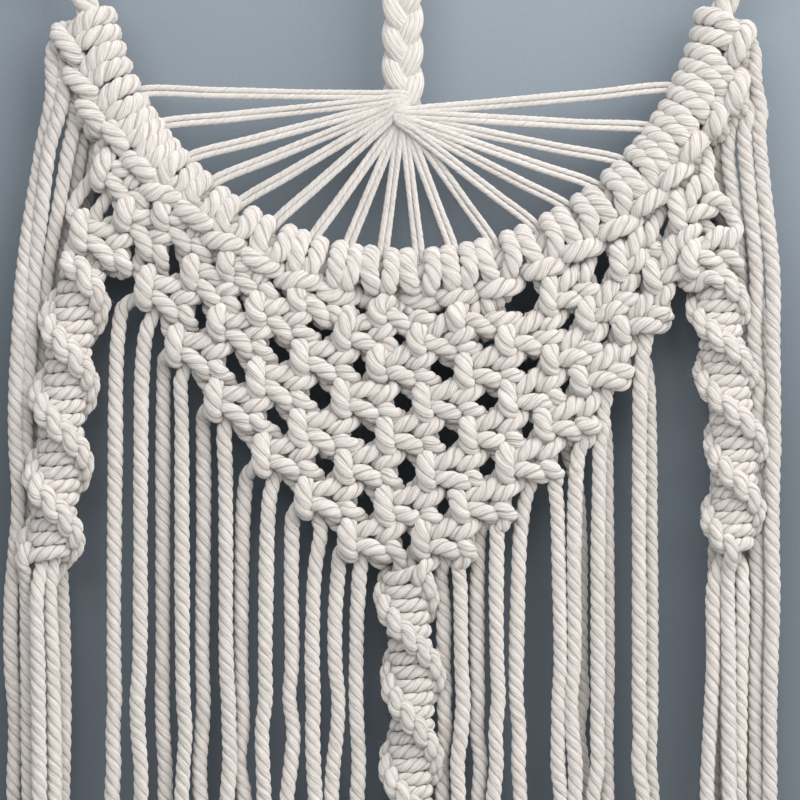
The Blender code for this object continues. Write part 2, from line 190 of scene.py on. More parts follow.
@dataclass
class Settler:
    """Lets laid-out cords push each other apart, even out their bends and keep their length."""

    spacing: float = 1.6
    rounds: int = 70
    rounds_per_search: int = 6
    search_margin: float = 1.5
    push: float = 0.30
    longest_push: float = 0.8
    bend: float = 0.10
    stretch: float = 0.25
    least_distance: float = 0.05
    own_reach: float = 7.5
    front_limit: float = -12.5
    back_limit: float = 14.5
    lines: list[np.ndarray] = field(default_factory=list)
    traits: list[np.ndarray] = field(default_factory=list)
    radii: list[float] = field(default_factory=list)
    still: list[bool] = field(default_factory=list)

    def add(self, points: np.ndarray, traits: np.ndarray, radius: float, still: bool = False) -> int:
        """Take a cord in.

        Args:
            points: Places the cord passes.
            traits: Hold, girth and flatness at each place.
            radius: Distance at which the cord touches, in millimetres.
            still: True for a cord that pushes and isn't pushed.

        Returns:
            The cord's number.
        """
        line, carried = smooth_line(points, self.spacing, traits)
        self.lines.append(line)
        self.traits.append(carried)
        self.radii.append(radius)
        self.still.append(still)
        return len(self.lines) - 1

    def settle(self) -> None:
        """Run the rounds of pushing, bending and stretching on all cords together."""
        sizes = [len(line) for line in self.lines]
        spots = np.concatenate(self.lines)
        laid = spots.copy()
        traits = np.concatenate(self.traits)
        hold = traits[:, :1]
        cord = np.repeat(np.arange(len(sizes)), sizes)
        order = np.concatenate([np.arange(size) for size in sizes])
        radius = np.repeat(self.radii, sizes) * traits[:, 1]
        free = ~np.repeat(self.still, sizes)
        inner = free & (order > 0) & (order < np.repeat(sizes, sizes) - 1)
        middle = np.flatnonzero(inner)
        joined = np.flatnonzero(free[:-1] & (cord[:-1] == cord[1:]))
        rest = np.linalg.norm(spots[joined + 1] - spots[joined], axis=1)
        for turn in range(self.rounds):
            if turn % self.rounds_per_search == 0:
                first, second = close_pairs(spots, 2 * radius.max() + self.search_margin)
                same = (cord[first] == cord[second]) & ((second - first) * self.spacing < self.own_reach)
                first, second = first[~same], second[~same]
            apart = spots[first] - spots[second]
            distance = np.maximum(np.linalg.norm(apart, axis=1), self.least_distance)
            overlap = np.maximum(radius[first] + radius[second] - distance, 0.0)
            move = apart * (self.push * overlap / distance)[:, None]
            shift = np.zeros_like(spots)
            for axis in range(3):
                shift[:, axis] += np.bincount(first, move[:, axis], len(spots))
                shift[:, axis] -= np.bincount(second, move[:, axis], len(spots))
            size = np.linalg.norm(shift, axis=1, keepdims=True)
            shorter = np.minimum(1.0, self.longest_push / np.maximum(size, 1e-6))
            spots += np.where(free[:, None], shift * shorter, 0.0)
            spots[middle] += self.bend * ((spots[middle - 1] + spots[middle + 1]) / 2 - spots[middle])
            for part in (joined[::2], joined[1::2]):
                lengths = rest[np.searchsorted(joined, part)]
                along = spots[part + 1] - spots[part]
                size = np.maximum(np.linalg.norm(along, axis=1), 1e-6)
                fix = along * (self.stretch * (size - lengths) / size)[:, None]
                spots[part] += fix
                spots[part + 1] -= fix
            spots += np.where(free[:, None], hold * (laid - spots), 0.0)
            between = np.clip(spots[:, 1], self.front_limit, self.back_limit)
            spots[:, 1] = np.where(free, between, spots[:, 1])
        ends = np.cumsum(sizes)
        self.lines = [spots[end - size:end] for size, end in zip(sizes, ends)]


@dataclass(frozen=True)
class RopeShape:
    """Section and twist of a rope."""

    radius: float
    plies: int
    lay: float
    around: int
    rings_per_lay: int
    groove: float
    wander: float = 0.03
    twist_play: float = 0.22
    # How strongly shade is painted into the grooves between the plies, as a share
    shade: float = 1.0
    ply_roundness: float = 0.75

    def section(self, angle: np.ndarray) -> np.ndarray:
        """Return the section's radius, as a share of the rope's, at angles around it."""
        return 1 - self.groove * (1 - np.abs(np.cos(angle * self.plies / 2)) ** self.ply_roundness)


WORKING_ROPE = RopeShape(radius=CORD_RADIUS, plies=3, lay=12.1, around=12, rings_per_lay=10, groove=0.21)
HOLDING_ROPE = RopeShape(radius=4.35, plies=3, lay=22.0, around=24, rings_per_lay=16, groove=0.22)
# The thin strings get less painted shade in their grooves
THIN_STRING = RopeShape(radius=1.06, plies=2, lay=6.4, around=8, rings_per_lay=5, groove=0.10, wander=0.06,
                        shade=0.78)
BRAID_STRAND = RopeShape(radius=3.1, plies=12, lay=150.0, around=48, rings_per_lay=110, groove=0.045)

# Slow waves along a rope, by which its twist and its girth vary: size, length in millimetres and phase
TWIST_WAVES = ((1.0, 9.7, 5), (0.7, 4.9, 11))
GIRTH_WAVES = ((1.0, 17.0, 1), (0.6, 6.1, 3))


def waves_along(run: np.ndarray, shift: float, waves: tuple[tuple[float, float, int], ...]) -> np.ndarray:
    """Add up slow waves along a rope."""
    return sum(size * np.sin(run / length + phase * shift) for size, length, phase in waves)


def to_mesh(bm: bmesh.types.BMesh, name: str) -> bpy.types.Mesh:
    """Turn a bmesh into a mesh.

    Args:
        bm: The bmesh, which is freed.
        name: Name of the mesh.

    Returns:
        The mesh.
    """
    mesh = bpy.data.meshes.new(name)
    bm.to_mesh(mesh)
    bm.free()
    return mesh


def edges_of(verts: list[bmesh.types.BMVert]) -> list[bmesh.types.BMEdge]:
    """Return the edges at some points, each once and in the same order in every run."""
    return list(dict.fromkeys(edge for vert in verts for edge in vert.link_edges))


def positions(mesh: bpy.types.Mesh) -> np.ndarray:
    """Return the places of a mesh's points, one row each.

    Args:
        mesh: The mesh.

    Returns:
        The places.
    """
    flat = np.empty(len(mesh.vertices) * 3)
    mesh.vertices.foreach_get("co", flat)
    return flat.reshape(-1, 3)


def write_values(mesh: bpy.types.Mesh, name: str, values: np.ndarray) -> None:
    """Write one value at each point of a mesh, for its material to read."""
    mesh.attributes.new(name, "FLOAT", "POINT").data.foreach_set("value", values)


def turning_frames(line: np.ndarray) -> tuple[np.ndarray, np.ndarray]:
    """Carry a pair of side directions along a line without letting them twist.

    Args:
        line: Points of the line.

    Returns:
        The two side directions at each point.
    """
    along = np.gradient(line, axis=0)
    along /= np.maximum(np.linalg.norm(along, axis=1, keepdims=True), 1e-9)
    side = np.empty_like(line)
    start = np.cross(along[0], (0.0, 1.0, 0.0))
    if np.linalg.norm(start) < 0.1:
        start = np.cross(along[0], (1.0, 0.0, 0.0))
    side[0] = start / np.linalg.norm(start)
    for index in range(1, len(line)):
        carried = side[index - 1] - along[index] * (side[index - 1] @ along[index])
        side[index] = carried / max(np.linalg.norm(carried), 1e-9)
    return side, np.cross(along, side)


@dataclass
class RopeMaker:
    """Makes ropes: spins a lobed section into a straight twisted rope and bends it along a line."""

    shape: RopeShape
    lays: int = 6
    blunt_end: float = 0.6
    pattern_shift: float = 200.0
    tint_shift: float = 37.0
    pattern: bpy.types.Mesh | None = None

    @property
    def steps(self) -> int:
        """Number of rings that the spun length adds."""
        return self.lays * self.shape.rings_per_lay

    def spun_length(self) -> bpy.types.Mesh:
        """Spin a few lays of straight rope downwards from height 0.

        Returns:
            The rope, with one unit of height to a ring.
        """
        bm = bmesh.new()
        ring = bmesh.ops.create_circle(bm, segments=self.shape.around, radius=1.0)["verts"]
        for vert in ring:
            share = float(self.shape.section(np.array(math.atan2(vert.co.y, vert.co.x))))
            vert.co *= self.shape.radius * share
        edges = edges_of(ring)
        bmesh.ops.spin(bm, geom=ring + edges, cent=(0, 0, 0), axis=(0, 0, 1), dvec=(0, 0, -1),
                       angle=math.tau * self.lays, steps=self.steps)
        return to_mesh(bm, "spun_length")

    def straight(self, rings: int) -> bmesh.types.BMesh:
        """Join spun lengths into a straight rope.

        Args:
            rings: Number of rings.

        Returns:
            The rope with both ends filled, one unit of height to a ring.
        """
        if self.pattern is None:
            self.pattern = self.spun_length()
        bm = bmesh.new()
        for start in range(0, rings - 1, self.steps):
            before = len(bm.verts)
            bm.from_mesh(self.pattern)
            bm.verts.ensure_lookup_table()
            bmesh.ops.translate(bm, verts=bm.verts[before:], vec=(0, 0, -start))
        seams = [vert for vert in bm.verts if round(-vert.co.z) % self.steps == 0]
        bmesh.ops.remove_doubles(bm, verts=seams, dist=0.01)
        spare = [vert for vert in bm.verts if round(-vert.co.z) > rings - 1]
        bmesh.ops.delete(bm, geom=spare, context="VERTS")
        bmesh.ops.holes_fill(bm, edges=[edge for edge in bm.edges if edge.is_boundary], sides=0)
        bmesh.ops.recalc_face_normals(bm, faces=bm.faces)
        return bm

    def bend(self, bm: bmesh.types.BMesh, line: np.ndarray, traits: np.ndarray, step: float,
             shift: float) -> bpy.types.Mesh:
        """Bend a straight rope along a line and write its pattern attributes.

        Args:
            bm: The straight rope, which is freed.
            line: Points of the line, one for each ring, in millimetres.
            traits: Hold, girth and flatness at each of them.
            step: Distance between two rings once bent.
            shift: Offset of the pattern, so that no two ropes look the same.

        Returns:
            The rope's mesh, in metres.
        """
        mesh = to_mesh(bm, "rope")
        rest = positions(mesh)
        ring = np.clip(np.rint(-rest[:, 2]).astype(int), 0, len(line) - 1)
        rest[:, 2] *= step
        side, other = turning_frames(line)
        run = np.arange(len(line)) * step
        loose = self.shape.twist_play * waves_along(run, shift, TWIST_WAVES)
        across = side * np.cos(loose)[:, None] + other * np.sin(loose)[:, None]
        upward = other * np.cos(loose)[:, None] - side * np.sin(loose)[:, None]
        swell = 1 + self.shape.wander * waves_along(run, shift, GIRTH_WAVES)
        tip = np.minimum(run, run[-1] - run)
        rounding = (tip + self.blunt_end) / (0.5 * self.shape.radius + self.blunt_end)
        swell *= np.sqrt(np.clip(rounding, 0.0, 1.0)) * traits[:, 1]
        offset = (rest[:, :1] * across[ring] - rest[:, 1:2] * upward[ring]) * swell[ring][:, None]
        flat = traits[ring, 2][:, None]
        offset *= 1 + flat * np.array((1.0, -1.0, 1.0))
        mesh.vertices.foreach_set("co", ((line[ring] + offset) * MM).ravel())
        # The crest value is 1 on a ply's crest and 0 deep in a groove; the material paints shade into the
        # grooves by it
        reach = np.hypot(rest[:, 0], rest[:, 1]) / self.shape.radius
        crest = np.clip(1 - (1 - reach) / self.shape.groove, 0.0, 1.0)
        turn = -ring * math.tau / self.shape.rings_per_lay
        rest[:, 0], rest[:, 1] = (rest[:, 0] * np.cos(turn) - rest[:, 1] * np.sin(turn),
                                  rest[:, 0] * np.sin(turn) + rest[:, 1] * np.cos(turn))
        rest[:, 2] += self.pattern_shift * shift
        mesh.attributes.new("fibre", "FLOAT_VECTOR", "POINT").data.foreach_set("vector", rest.ravel())
        write_values(mesh, "crest", 1 - self.shape.shade * (1 - crest))
        write_values(mesh, "tint", np.full(len(mesh.vertices), 0.5 + 0.5 * math.sin(self.tint_shift * shift)))
        mesh.update()
        return mesh

    def make(self, points: np.ndarray, shift: float, traits: np.ndarray | None = None) -> bpy.types.Mesh:
        """Make a rope along a line.

        Args:
            points: Places the rope goes through, in millimetres.
            shift: Offset of the pattern.
            traits: Hold, girth and flatness at each place, or nothing for an even rope.

        Returns:
            The rope's mesh.
        """
        if traits is None:
            traits = np.tile((0.0, 1.0, 0.0), (len(points), 1))
        line, traits = smooth_line(points, self.shape.lay / self.shape.rings_per_lay, traits)
        length = np.linalg.norm(np.diff(line, axis=0), axis=1).sum()
        step = length / (len(line) - 1)
        return self.bend(self.straight(len(line)), line, traits, step, shift)


@dataclass
class Fuzz:
    """Loose fibre ends that stand off a cord.

    A fibre starts at the share "rooted" of the cord's radius, stands off by "rise" and trails along the cord.
    """

    per_mm: float = 0.27
    radius: float = 0.045
    taper: float = 0.2
    shortest: float = 0.5
    longest: float = 1.7
    rooted: float = 0.88
    rise: float = 0.7
    trail: float = 0.8
    slant: float = 1.4
    scatter: float = 0.5
    rings: int = 4
    seed: int = 5
    pattern: bpy.types.Mesh | None = None

    def fibre(self) -> bpy.types.Mesh:
        """Make one straight fibre.

        Returns:
            The fibre, with a unit of height to a ring.
        """
        bm = bmesh.new()
        ring = bmesh.ops.create_circle(bm, segments=3, radius=1.0)["verts"]
        edges = edges_of(ring)
        bmesh.ops.spin(bm, geom=ring + edges, cent=(0, 0, 0), axis=(0, 0, 1), dvec=(0, 0, 1), angle=0.0,
                       steps=self.rings - 1)
        bmesh.ops.recalc_face_normals(bm, faces=bm.faces)
        return to_mesh(bm, "fibre")

    def grow(self, line: np.ndarray, number: int, reach: float) -> bpy.types.Mesh:
        """Scatter fibres along a cord.

        Args:
            line: The cord's middle line, in millimetres.
            number: The cord's number, which seeds the scatter.
            reach: The cord's radius.

        Returns:
            The fibres in one mesh.
        """
        if self.pattern is None:
            self.pattern = self.fibre()
        random = np.random.default_rng(self.seed + number)
        length = np.linalg.norm(np.diff(line, axis=0), axis=1).sum()
        count = int(length * self.per_mm)
        spot = random.integers(2, len(line) - 3, count)
        along = np.gradient(line, axis=0)[spot]
        along /= np.linalg.norm(along, axis=1, keepdims=True)
        out = random.normal(size=(count, 3))
        out -= along * (out * along).sum(axis=1, keepdims=True)
        out /= np.linalg.norm(out, axis=1, keepdims=True)
        lean = random.normal(size=(count, 3)) * self.scatter
        lean = lean + along * random.choice((-1.0, 1.0), (count, 1)) * self.slant
        size = random.uniform(self.shortest, self.longest, (count, 1))
        share = np.linspace(0.0, 1.0, self.rings)[None, :, None]
        root = (line[spot] + out * (reach * self.rooted))[:, None, :]
        curve = root + (out * size * self.rise)[:, None, :] * share
        curve = curve + (lean * size * self.trail)[:, None, :] * share ** 2
        bm = bmesh.new()
        for _ in range(count):
            bm.from_mesh(self.pattern)
        mesh = to_mesh(bm, "fuzz")
        shape = positions(mesh).reshape(count, -1, 3)
        ring = np.rint(shape[:, :, 2]).astype(int)
        side = np.cross(out, along)
        thin = self.radius * (1.0 - self.taper * ring)[:, :, None]
        placed = np.take_along_axis(curve, ring[:, :, None], axis=1)
        placed = placed + thin * (shape[:, :, :1] * side[:, None, :] + shape[:, :, 1:2] * along[:, None, :])
        mesh.vertices.foreach_set("co", (placed * MM).ravel())
        mesh.attributes.new("fibre", "FLOAT_VECTOR", "POINT")
        # Fibres get no painted groove shade
        for name in ("crest", "tint"):
            write_values(mesh, name, np.ones(len(mesh.vertices)))
        mesh.update()
        return mesh


def finish_piece(name: str, meshes: list[bpy.types.Mesh], material: bpy.types.Material,
                 nodes: tuple[str, ...]) -> bpy.types.Object:
    """Join meshes into one piece of the hanging and dress it.

    Args:
        name: The piece's name.
        meshes: Its meshes.
        material: Its material.
        nodes: The solids that the piece stands for.

    Returns:
        The piece.
    """
    bm = bmesh.new()
    for mesh in meshes:
        bm.from_mesh(mesh)
        bpy.data.meshes.remove(mesh)
    joined = to_mesh(bm, name)
    joined.shade_smooth()
    joined.materials.append(material)
    piece = bpy.data.objects.new(name, joined)
    bpy.context.scene.collection.objects.link(piece)
    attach(piece, "root")
    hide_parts(*nodes)
    log.info("%s: %d triangles", name, sum(len(face.vertices) - 2 for face in joined.polygons))
    return piece


# Places of a wrap around the holding cord: distance out from the curve, depth and hold
WRAP_PLACES = ((1.0, 6.0, 0.06), (-4.0, 4.6, 0.08), (-6.1, 0.0, 0.14), (-4.4, -4.7, 0.14), (-0.4, -6.7, 0.14))
WRAP_GIRTH = 1.13
WRAP_FLAT = 0.20

# Places where an end leaves below its bar: distance out, depth, what a sunk bar adds to it, hold, girth
# and flatness
LEAVING_PLACES = ((-1.0, -3.4, 1.0, 0.05, 0.95, 0.12), (0.6, -2.4, 4.6, 0.05, 0.92, 0.10),
                  (4.0, -1.0, 1.6, 0.03, 0.95, 0.08))


@dataclass(frozen=True)
class LarkHead:
    """A lark's head: the angles of its two wraps, and the place and tilt of the bar across them.

    A bar with "sunk" above 0 lies farther back, and at 1 it lies at "sunk_depth".
    """

    left_wrap: float
    right_wrap: float
    bar_px: float
    bar_py: float
    tilt: float
    sunk: float = 0.0
    bar_half: float = 2.4
    bar_depth: float = -7.4
    sunk_depth: float = -1.8

    def end_route(self, end: End) -> Route:
        """Lay one end from the middle of the bar, around the holding cord and out behind the bar.

        Args:
            end: Which end of the cord.

        Returns:
            The route so far.
        """
        bar = place(self.bar_px, self.bar_py)
        tilt = math.radians(self.tilt)
        along = np.array((math.cos(tilt), 0.0, math.sin(tilt))) * end.value
        out = bar - ARC_CENTRE
        out /= np.linalg.norm(out)
        depth = self.bar_depth * (1 - self.sunk) + self.sunk_depth * self.sunk
        wrap = self.left_wrap if end is End.LEFT else self.right_wrap
        bar_angle = math.degrees(math.atan2(out[0], -out[2]))
        behind = around_arc(wrap, ARC_RADIUS + 5.6, 0.0) * 0.6 + (bar + along * 3.4 - out) * 0.4
        route = Route()
        laid = [
            (bar + DEEP * depth, 0.08),
            (bar + along * (self.bar_half - 0.6 * self.sunk) + DEEP * depth, 0.06),
            (bar + along * (self.bar_half + 1.5) + DEEP * (depth + 2.6), 0.05),
            (behind + DEEP * (depth + 13.0) * 0.5, 0.03),
        ]
        laid += [(around_arc(wrap, ARC_RADIUS + away, deep), hold) for away, deep, hold in WRAP_PLACES]
        front = around_arc(0.68 * wrap + 0.32 * bar_angle, ARC_RADIUS + 3.6, -6.1 - 0.6 * self.sunk)
        for point, hold in laid + [(front, 0.12)]:
            route.add(point, hold, WRAP_GIRTH, WRAP_FLAT)
        below = bar + along * 2.3
        for away, deep, sinks, hold, girth, flat in LEAVING_PLACES:
            route.add(below + out * away + DEEP * (deep + sinks * self.sunk), hold, girth, flat)
        return route


HEADS = (
    LarkHead(-78.0, -74.6, 69, 47, -52), LarkHead(-71.4, -68.1, 83, 87, -38),
    LarkHead(-64.4, -60.6, 95, 117, -48), LarkHead(-57.6, -55.0, 119, 138, -43),
    LarkHead(-52.7, -50.3, 142, 165, -45), LarkHead(-47.7, -43.9, 164, 195, -16),
    LarkHead(-41.6, -37.2, 193, 216, -22), LarkHead(-34.5, -30.1, 224, 241, -10),
    LarkHead(-26.9, -22.4, 259, 265, -16, 0.15), LarkHead(-19.8, -16.3, 300, 281, -6, 0.4),
    LarkHead(-12.4, -9.3, 336, 294, -12, 0.7), LarkHead(-6.6, -2.5, 382, 296, 0, 1.0),
    LarkHead(0.3, 5.1, 420, 299, 0, 1.0), LarkHead(8.0, 11.7, 457, 295, 3, 0.6),
    LarkHead(14.4, 19.7, 499, 286, 10, 0.35), LarkHead(22.6, 27.9, 543, 266, 14, 0.15),
    LarkHead(30.4, 34.8, 579, 250, 20), LarkHead(37.5, 42.3, 617, 228, 20),
    LarkHead(44.6, 48.7, 648, 202, 34), LarkHead(50.9, 53.6, 672, 176, 39),
    LarkHead(56.6, 59.2, 692, 148, 49), LarkHead(62.4, 65.3, 716, 120, 60),
    LarkHead(68.1, 71.0, 734, 95, 68), LarkHead(74.3, 77.8, 738, 46, 62),
)
EDGE_HEADS = 3

# Middles of the square knots, row by row from the top, as columns and rows of the picture
KNOT_ROWS = (
    ((118, 180), (179, 227), (244, 274), (315, 302), (396, 314), (475, 318), (566, 293), (634, 257),
     (692, 206)),
    ((142, 227), (208, 285), (276, 317), (361, 334), (437, 338), (525, 337), (604, 306), (669, 266)),
    ((164, 296), (237, 330), (320, 360), (397, 366), (484, 370), (569, 352), (639, 317)),
    ((194, 352), (276, 385), (361, 401), (442, 403), (527, 395), (598, 371)),
    ((234, 405), (318, 432), (405, 435), (488, 433), (563, 421)),
    ((282, 457), (364, 466), (446, 472), (525, 462)),
    ((324, 499), (404, 508), (479, 503)),
    ((368, 539), (441, 539)),
)
# Knots of the top row that sit half under the lark's heads
TUCKED_KNOTS = (3, 4, 5)
LEFT_CORNER_KNOT = (99, 241)
RIGHT_CORNER_KNOT = (705, 255)
# Rightward directions of the corner knots, which lie askew
LEFT_CORNER_SLOPE = np.array((0.90, 0.0, -0.43))
RIGHT_CORNER_SLOPE = np.array((0.97, 0.0, 0.24))

# How a knot of the top row narrows, and how a tucked one lies back, for each millimetre above its middle
TOP_PINCH = 0.08
TUCKED_PINCH = 0.13
TUCK = 0.9
KNOT_HOLD = 0.065
KNOT_FLAT = 0.05


@dataclass(frozen=True)
class KnotFrame:
    """Where a square knot lies: its middle, its own rightward and upward directions."""

    middle: Point
    right: Point
    up: Point

    def at(self, x: float, z: float, depth: float) -> Point:
        """Return a point given in the knot's own directions."""
        return self.middle + self.right * x + self.up * z + np.array((0.0, depth, 0.0))


# Places that the cords of a square knot pass: across, up and behind its middle, in millimetres, and the girth
WORKING_LEFT = (
    (-10.6, 5.2, 0.4, 0.95), (-7.6, 3.2, -1.4, 0.95), (-4.0, 2.7, -3.7, 1.05), (0.6, 3.8, -4.8, 1.15),
    (4.6, 4.8, -4.0, 1.1), (7.4, 4.1, -1.0, 1.0), (8.4, 0.3, 0.4, 0.95), (7.4, -3.7, -1.0, 1.0),
    (4.9, -4.0, -4.0, 1.1), (0.5, -2.4, -4.8, 1.15), (-4.0, -1.2, -3.7, 1.05), (-7.4, -2.2, -1.4, 0.95),
    (-9.6, -5.2, 0.4, 0.95),
)
WORKING_RIGHT = (
    (10.9, 6.8, -0.6, 0.95), (10.0, 4.6, -3.4, 1.0), (7.8, 2.6, -5.0, 1.05), (5.9, 1.4, -2.2, 0.95),
    (4.3, 1.9, 3.0, 0.9), (0.0, 3.6, 4.5, 0.9), (-4.0, 4.4, 3.0, 0.95), (-5.6, 4.8, -1.6, 1.05),
    (-6.3, 3.4, -4.9, 1.22), (-6.9, 0.7, -6.2, 1.3), (-6.2, -2.6, -4.9, 1.2), (-4.9, -4.4, -1.4, 1.0),
    (-3.6, -4.2, 3.0, 0.9), (0.4, -3.2, 4.5, 0.9), (4.6, -1.9, 3.0, 0.95), (6.2, -1.2, -2.0, 1.0),
    (8.2, -3.0, -5.0, 1.08), (10.4, -5.0, -3.0, 1.0),
)
FILLER_FIRST = ((-2.3, 6.8, 0.4, 0.95), (-2.0, 2.0, 0.0, 0.9), (-2.0, -2.0, 0.0, 0.9),
                (-2.3, -6.6, 0.2, 0.95))
FILLER_SECOND = tuple((-x, z, depth, girth) for x, z, depth, girth in FILLER_FIRST)
KNOT_PATHS = {Slot.LEFT: WORKING_LEFT, Slot.FIRST: FILLER_FIRST,
              Slot.SECOND: FILLER_SECOND, Slot.RIGHT: WORKING_RIGHT}


Hands = dict[Slot, Route]


def take(*cords: Route) -> Hands:
    """Take four cords in hand, from left to right."""
    return dict(zip(Slot, cords))


def tie_square_knot(knot: KnotFrame, hands: Hands, skipped: int = 0, pinch: float = 0.0,
                    tuck: float = 0.0) -> None:
    """Lead four cords through a square knot.

    Args:
        knot: Where the knot lies.
        hands: Its four cords, from left to right.
        skipped: How many places at the start are left out, where the cords come straight from above.
        pinch: How much closer together the cords come in, for each millimetre above the middle.
        tuck: How much farther back the cords lie, for each millimetre above the middle.
    """
    for slot, path in KNOT_PATHS.items():
        for x, z, depth, girth in path[skipped:]:
            above = max(z, 0.0)
            spot = knot.at(x * (1 - pinch * above), z, depth + tuck * above)
            hands[slot].add(spot, KNOT_HOLD, girth, KNOT_FLAT)


def under_pair(left: Hands, right: Hands) -> Hands:
    """Return the four cords that the knot below two knots takes."""
    return take(left[Slot.SECOND], left[Slot.RIGHT], right[Slot.LEFT], right[Slot.FIRST])


@dataclass
class KnottedNet:
    """The net of square knots, row by row, with the corner knots that start the side spirals."""

    upright_share: float = 0.75
    rows: list[list[Hands]] = field(default_factory=list)

    def frames(self, row: int) -> list[KnotFrame]:
        """Work out how the knots of a row lie from the slope between their neighbours.

        Args:
            row: Number of the row, from the top.

        Returns:
            The knots, from the left.
        """
        middles = [place(px, py) for px, py in KNOT_ROWS[row]]
        made = []
        for index, middle in enumerate(middles):
            before, after = middles[max(index - 1, 0)], middles[min(index + 1, len(middles) - 1)]
            right = (after - before) / np.linalg.norm(after - before)
            square = np.array((-right[2], 0.0, right[0]))
            up = UPRIGHT * self.upright_share + square * (1 - self.upright_share)
            made.append(KnotFrame(middle, right, up / np.linalg.norm(up)))
        return made

    def tie(self, ends: dict[tuple[int, End], Route]) -> tuple[Hands, Hands, Hands]:
        """Tie all the knots.

        Args:
            ends: The hanging ends by head and end.

        Returns:
            The four cords of the left, the right and the centre spiral.
        """
        top = []
        for index, knot in enumerate(self.frames(0)):
            head = EDGE_HEADS + 2 * index
            hands = take(*(ends[number, end] for number in (head, head + 1) for end in End))
            if index in TUCKED_KNOTS:
                tie_square_knot(knot, hands, skipped=1, pinch=TUCKED_PINCH, tuck=TUCK)
            else:
                tie_square_knot(knot, hands, skipped=1, pinch=TOP_PINCH)
            top.append(hands)
        self.rows.append(top)
        for row in range(1, len(KNOT_ROWS)):
            above = self.rows[-1]
            made = []
            for index, knot in enumerate(self.frames(row)):
                hands = under_pair(above[index], above[index + 1])
                tie_square_knot(knot, hands)
                made.append(hands)
            self.rows.append(made)
        first, second = self.rows[0], self.rows[1]
        left = take(first[0][Slot.LEFT], first[0][Slot.FIRST], second[0][Slot.LEFT], second[0][Slot.FIRST])
        right = take(second[-1][Slot.SECOND], second[-1][Slot.RIGHT], first[-1][Slot.SECOND],
                     first[-1][Slot.RIGHT])
        tie_square_knot(KnotFrame(place(*LEFT_CORNER_KNOT), LEFT_CORNER_SLOPE, UPRIGHT), left)
        tie_square_knot(KnotFrame(place(*RIGHT_CORNER_KNOT), RIGHT_CORNER_SLOPE, UPRIGHT), right)
        centre = under_pair(*self.rows[-1])
        return left, right, centre


# Places around the fillers that a working cord of a half knot passes: angle, distance out, height and girth
HALF_KNOT_TURN = ((163, 8.9, 1.9, 0.86), (192, 7.3, -0.2, 0.88), (226, 5.3, -0.7, 1.0), (270, 4.6, 0.0, 1.05),
                  (314, 5.3, 0.7, 1.0), (348, 7.3, 1.4, 0.88), (377, 9.2, 0.4, 0.86))


@dataclass(frozen=True)
class HalfKnotSpiral:
    """A spiral of half knots around two fillers, with its four tails.

    A working cord farther out than "rail_reach" is in the rail, which is fuller by "rail_swell" in front.
    """

    node: str
    heads: tuple[int, int]
    axis: tuple[tuple[float, float], ...]
    wide: tuple[float, ...]
    knots: int
    pitch: float
    tails: tuple[tuple[float, float, float, float], ...]
    half_width: float = 8.6
    full_half_width: float = 8.6
    filler_distance: float = 5.0
    girth: float = 0.95
    hold: float = 0.04
    flat: float = 0.03
    rail_reach: float = 7.0
    rail_swell: float = 0.20
    tail_rows: tuple[float, float, float] = (32, 110, 240)
    tail_holds: tuple[float, float] = (0.03, 0.05)

    def axis_at(self, py: float) -> float:
        """Return the column of the spiral's middle line at a row of the picture."""
        rows = [row for _, row in self.axis]
        return float(np.interp(py, rows, [column for column, _ in self.axis]))

    def turn_at(self, py: float) -> float:
        """Work out how far the spiral has turned at a row. It is a whole half turn at each wide place.

        Args:
            py: Row of the picture.

        Returns:
            The turn in degrees.
        """
        turns = [180.0 * index for index in range(len(self.wide))]
        slope = 180.0 / (self.wide[1] - self.wide[0])
        if py < self.wide[0]:
            return (py - self.wide[0]) * slope
        if py > self.wide[-1]:
            return turns[-1] + (py - self.wide[-1]) * slope
        return float(np.interp(py, self.wide, turns))

    def tie(self, hands: Hands) -> None:
        """Lead four cords through the spiral and on as tails.

        Args:
            hands: The four cords.
        """
        top = self.axis[0][1]
        for slot, side in ((Slot.FIRST, -1), (Slot.SECOND, 1)):
            for step in range(0, self.knots + 1, 2):
                py = top + step * self.pitch
                filler = place(self.axis_at(py) + side * self.filler_distance, py)
                hands[slot].add(filler, self.hold, self.girth)
        goes_front, goes_back = hands[Slot.LEFT], hands[Slot.RIGHT]
        start = self.turn_at(top)
        if round(start / 180.0) % 2:
            goes_front, goes_back = goes_back, goes_front
        for step in range(self.knots):
            py = top + (step + 0.5) * self.pitch
            middle = place(self.axis_at(py), py)
            turn = self.turn_at(py)
            for route, half in ((goes_front, 0), (goes_back, 180)):
                for angle, out, height, girth in HALF_KNOT_TURN:
                    around = math.radians(angle + half + turn)
                    out *= self.half_width / self.full_half_width
                    offset = np.array((out * math.cos(around), out * math.sin(around), height))
                    faces = max(0.0, -math.sin(around)) if out > self.rail_reach else 0.0
                    fullness = self.girth * girth * (1 + self.rail_swell * faces)
                    route.add(middle + offset, self.hold, fullness, self.flat)
            goes_front, goes_back = goes_back, goes_front
        last = (goes_front, goes_back, hands[Slot.FIRST], hands[Slot.SECOND])
        bottom = top + self.knots * self.pitch
        upper_row, middle_row, lower_row = (bottom + row for row in self.tail_rows)
        ordered = sorted(last, key=lambda route: route.points[-1][0])
        for route, (upper, middle, lower, depth) in zip(ordered, self.tails):
            route.add(place(upper, upper_row, depth), self.tail_holds[0])
            route.add(place(middle, middle_row, depth), self.tail_holds[1])
            hang(route, lower, lower_row, depth)


@dataclass(frozen=True)
class Sway:
    """How a hanging cord waves: in even steps, little at first, by a slow wave and a small random part."""

    step: float = 11
    first_share: float = 0.3
    growth: float = 3
    wave: float = 1.0
    column_phase: float = 0.7
    step_phase: float = 0.42
    aside: float = 0.75
    deep: float = 0.4
    hold: float = 0.10


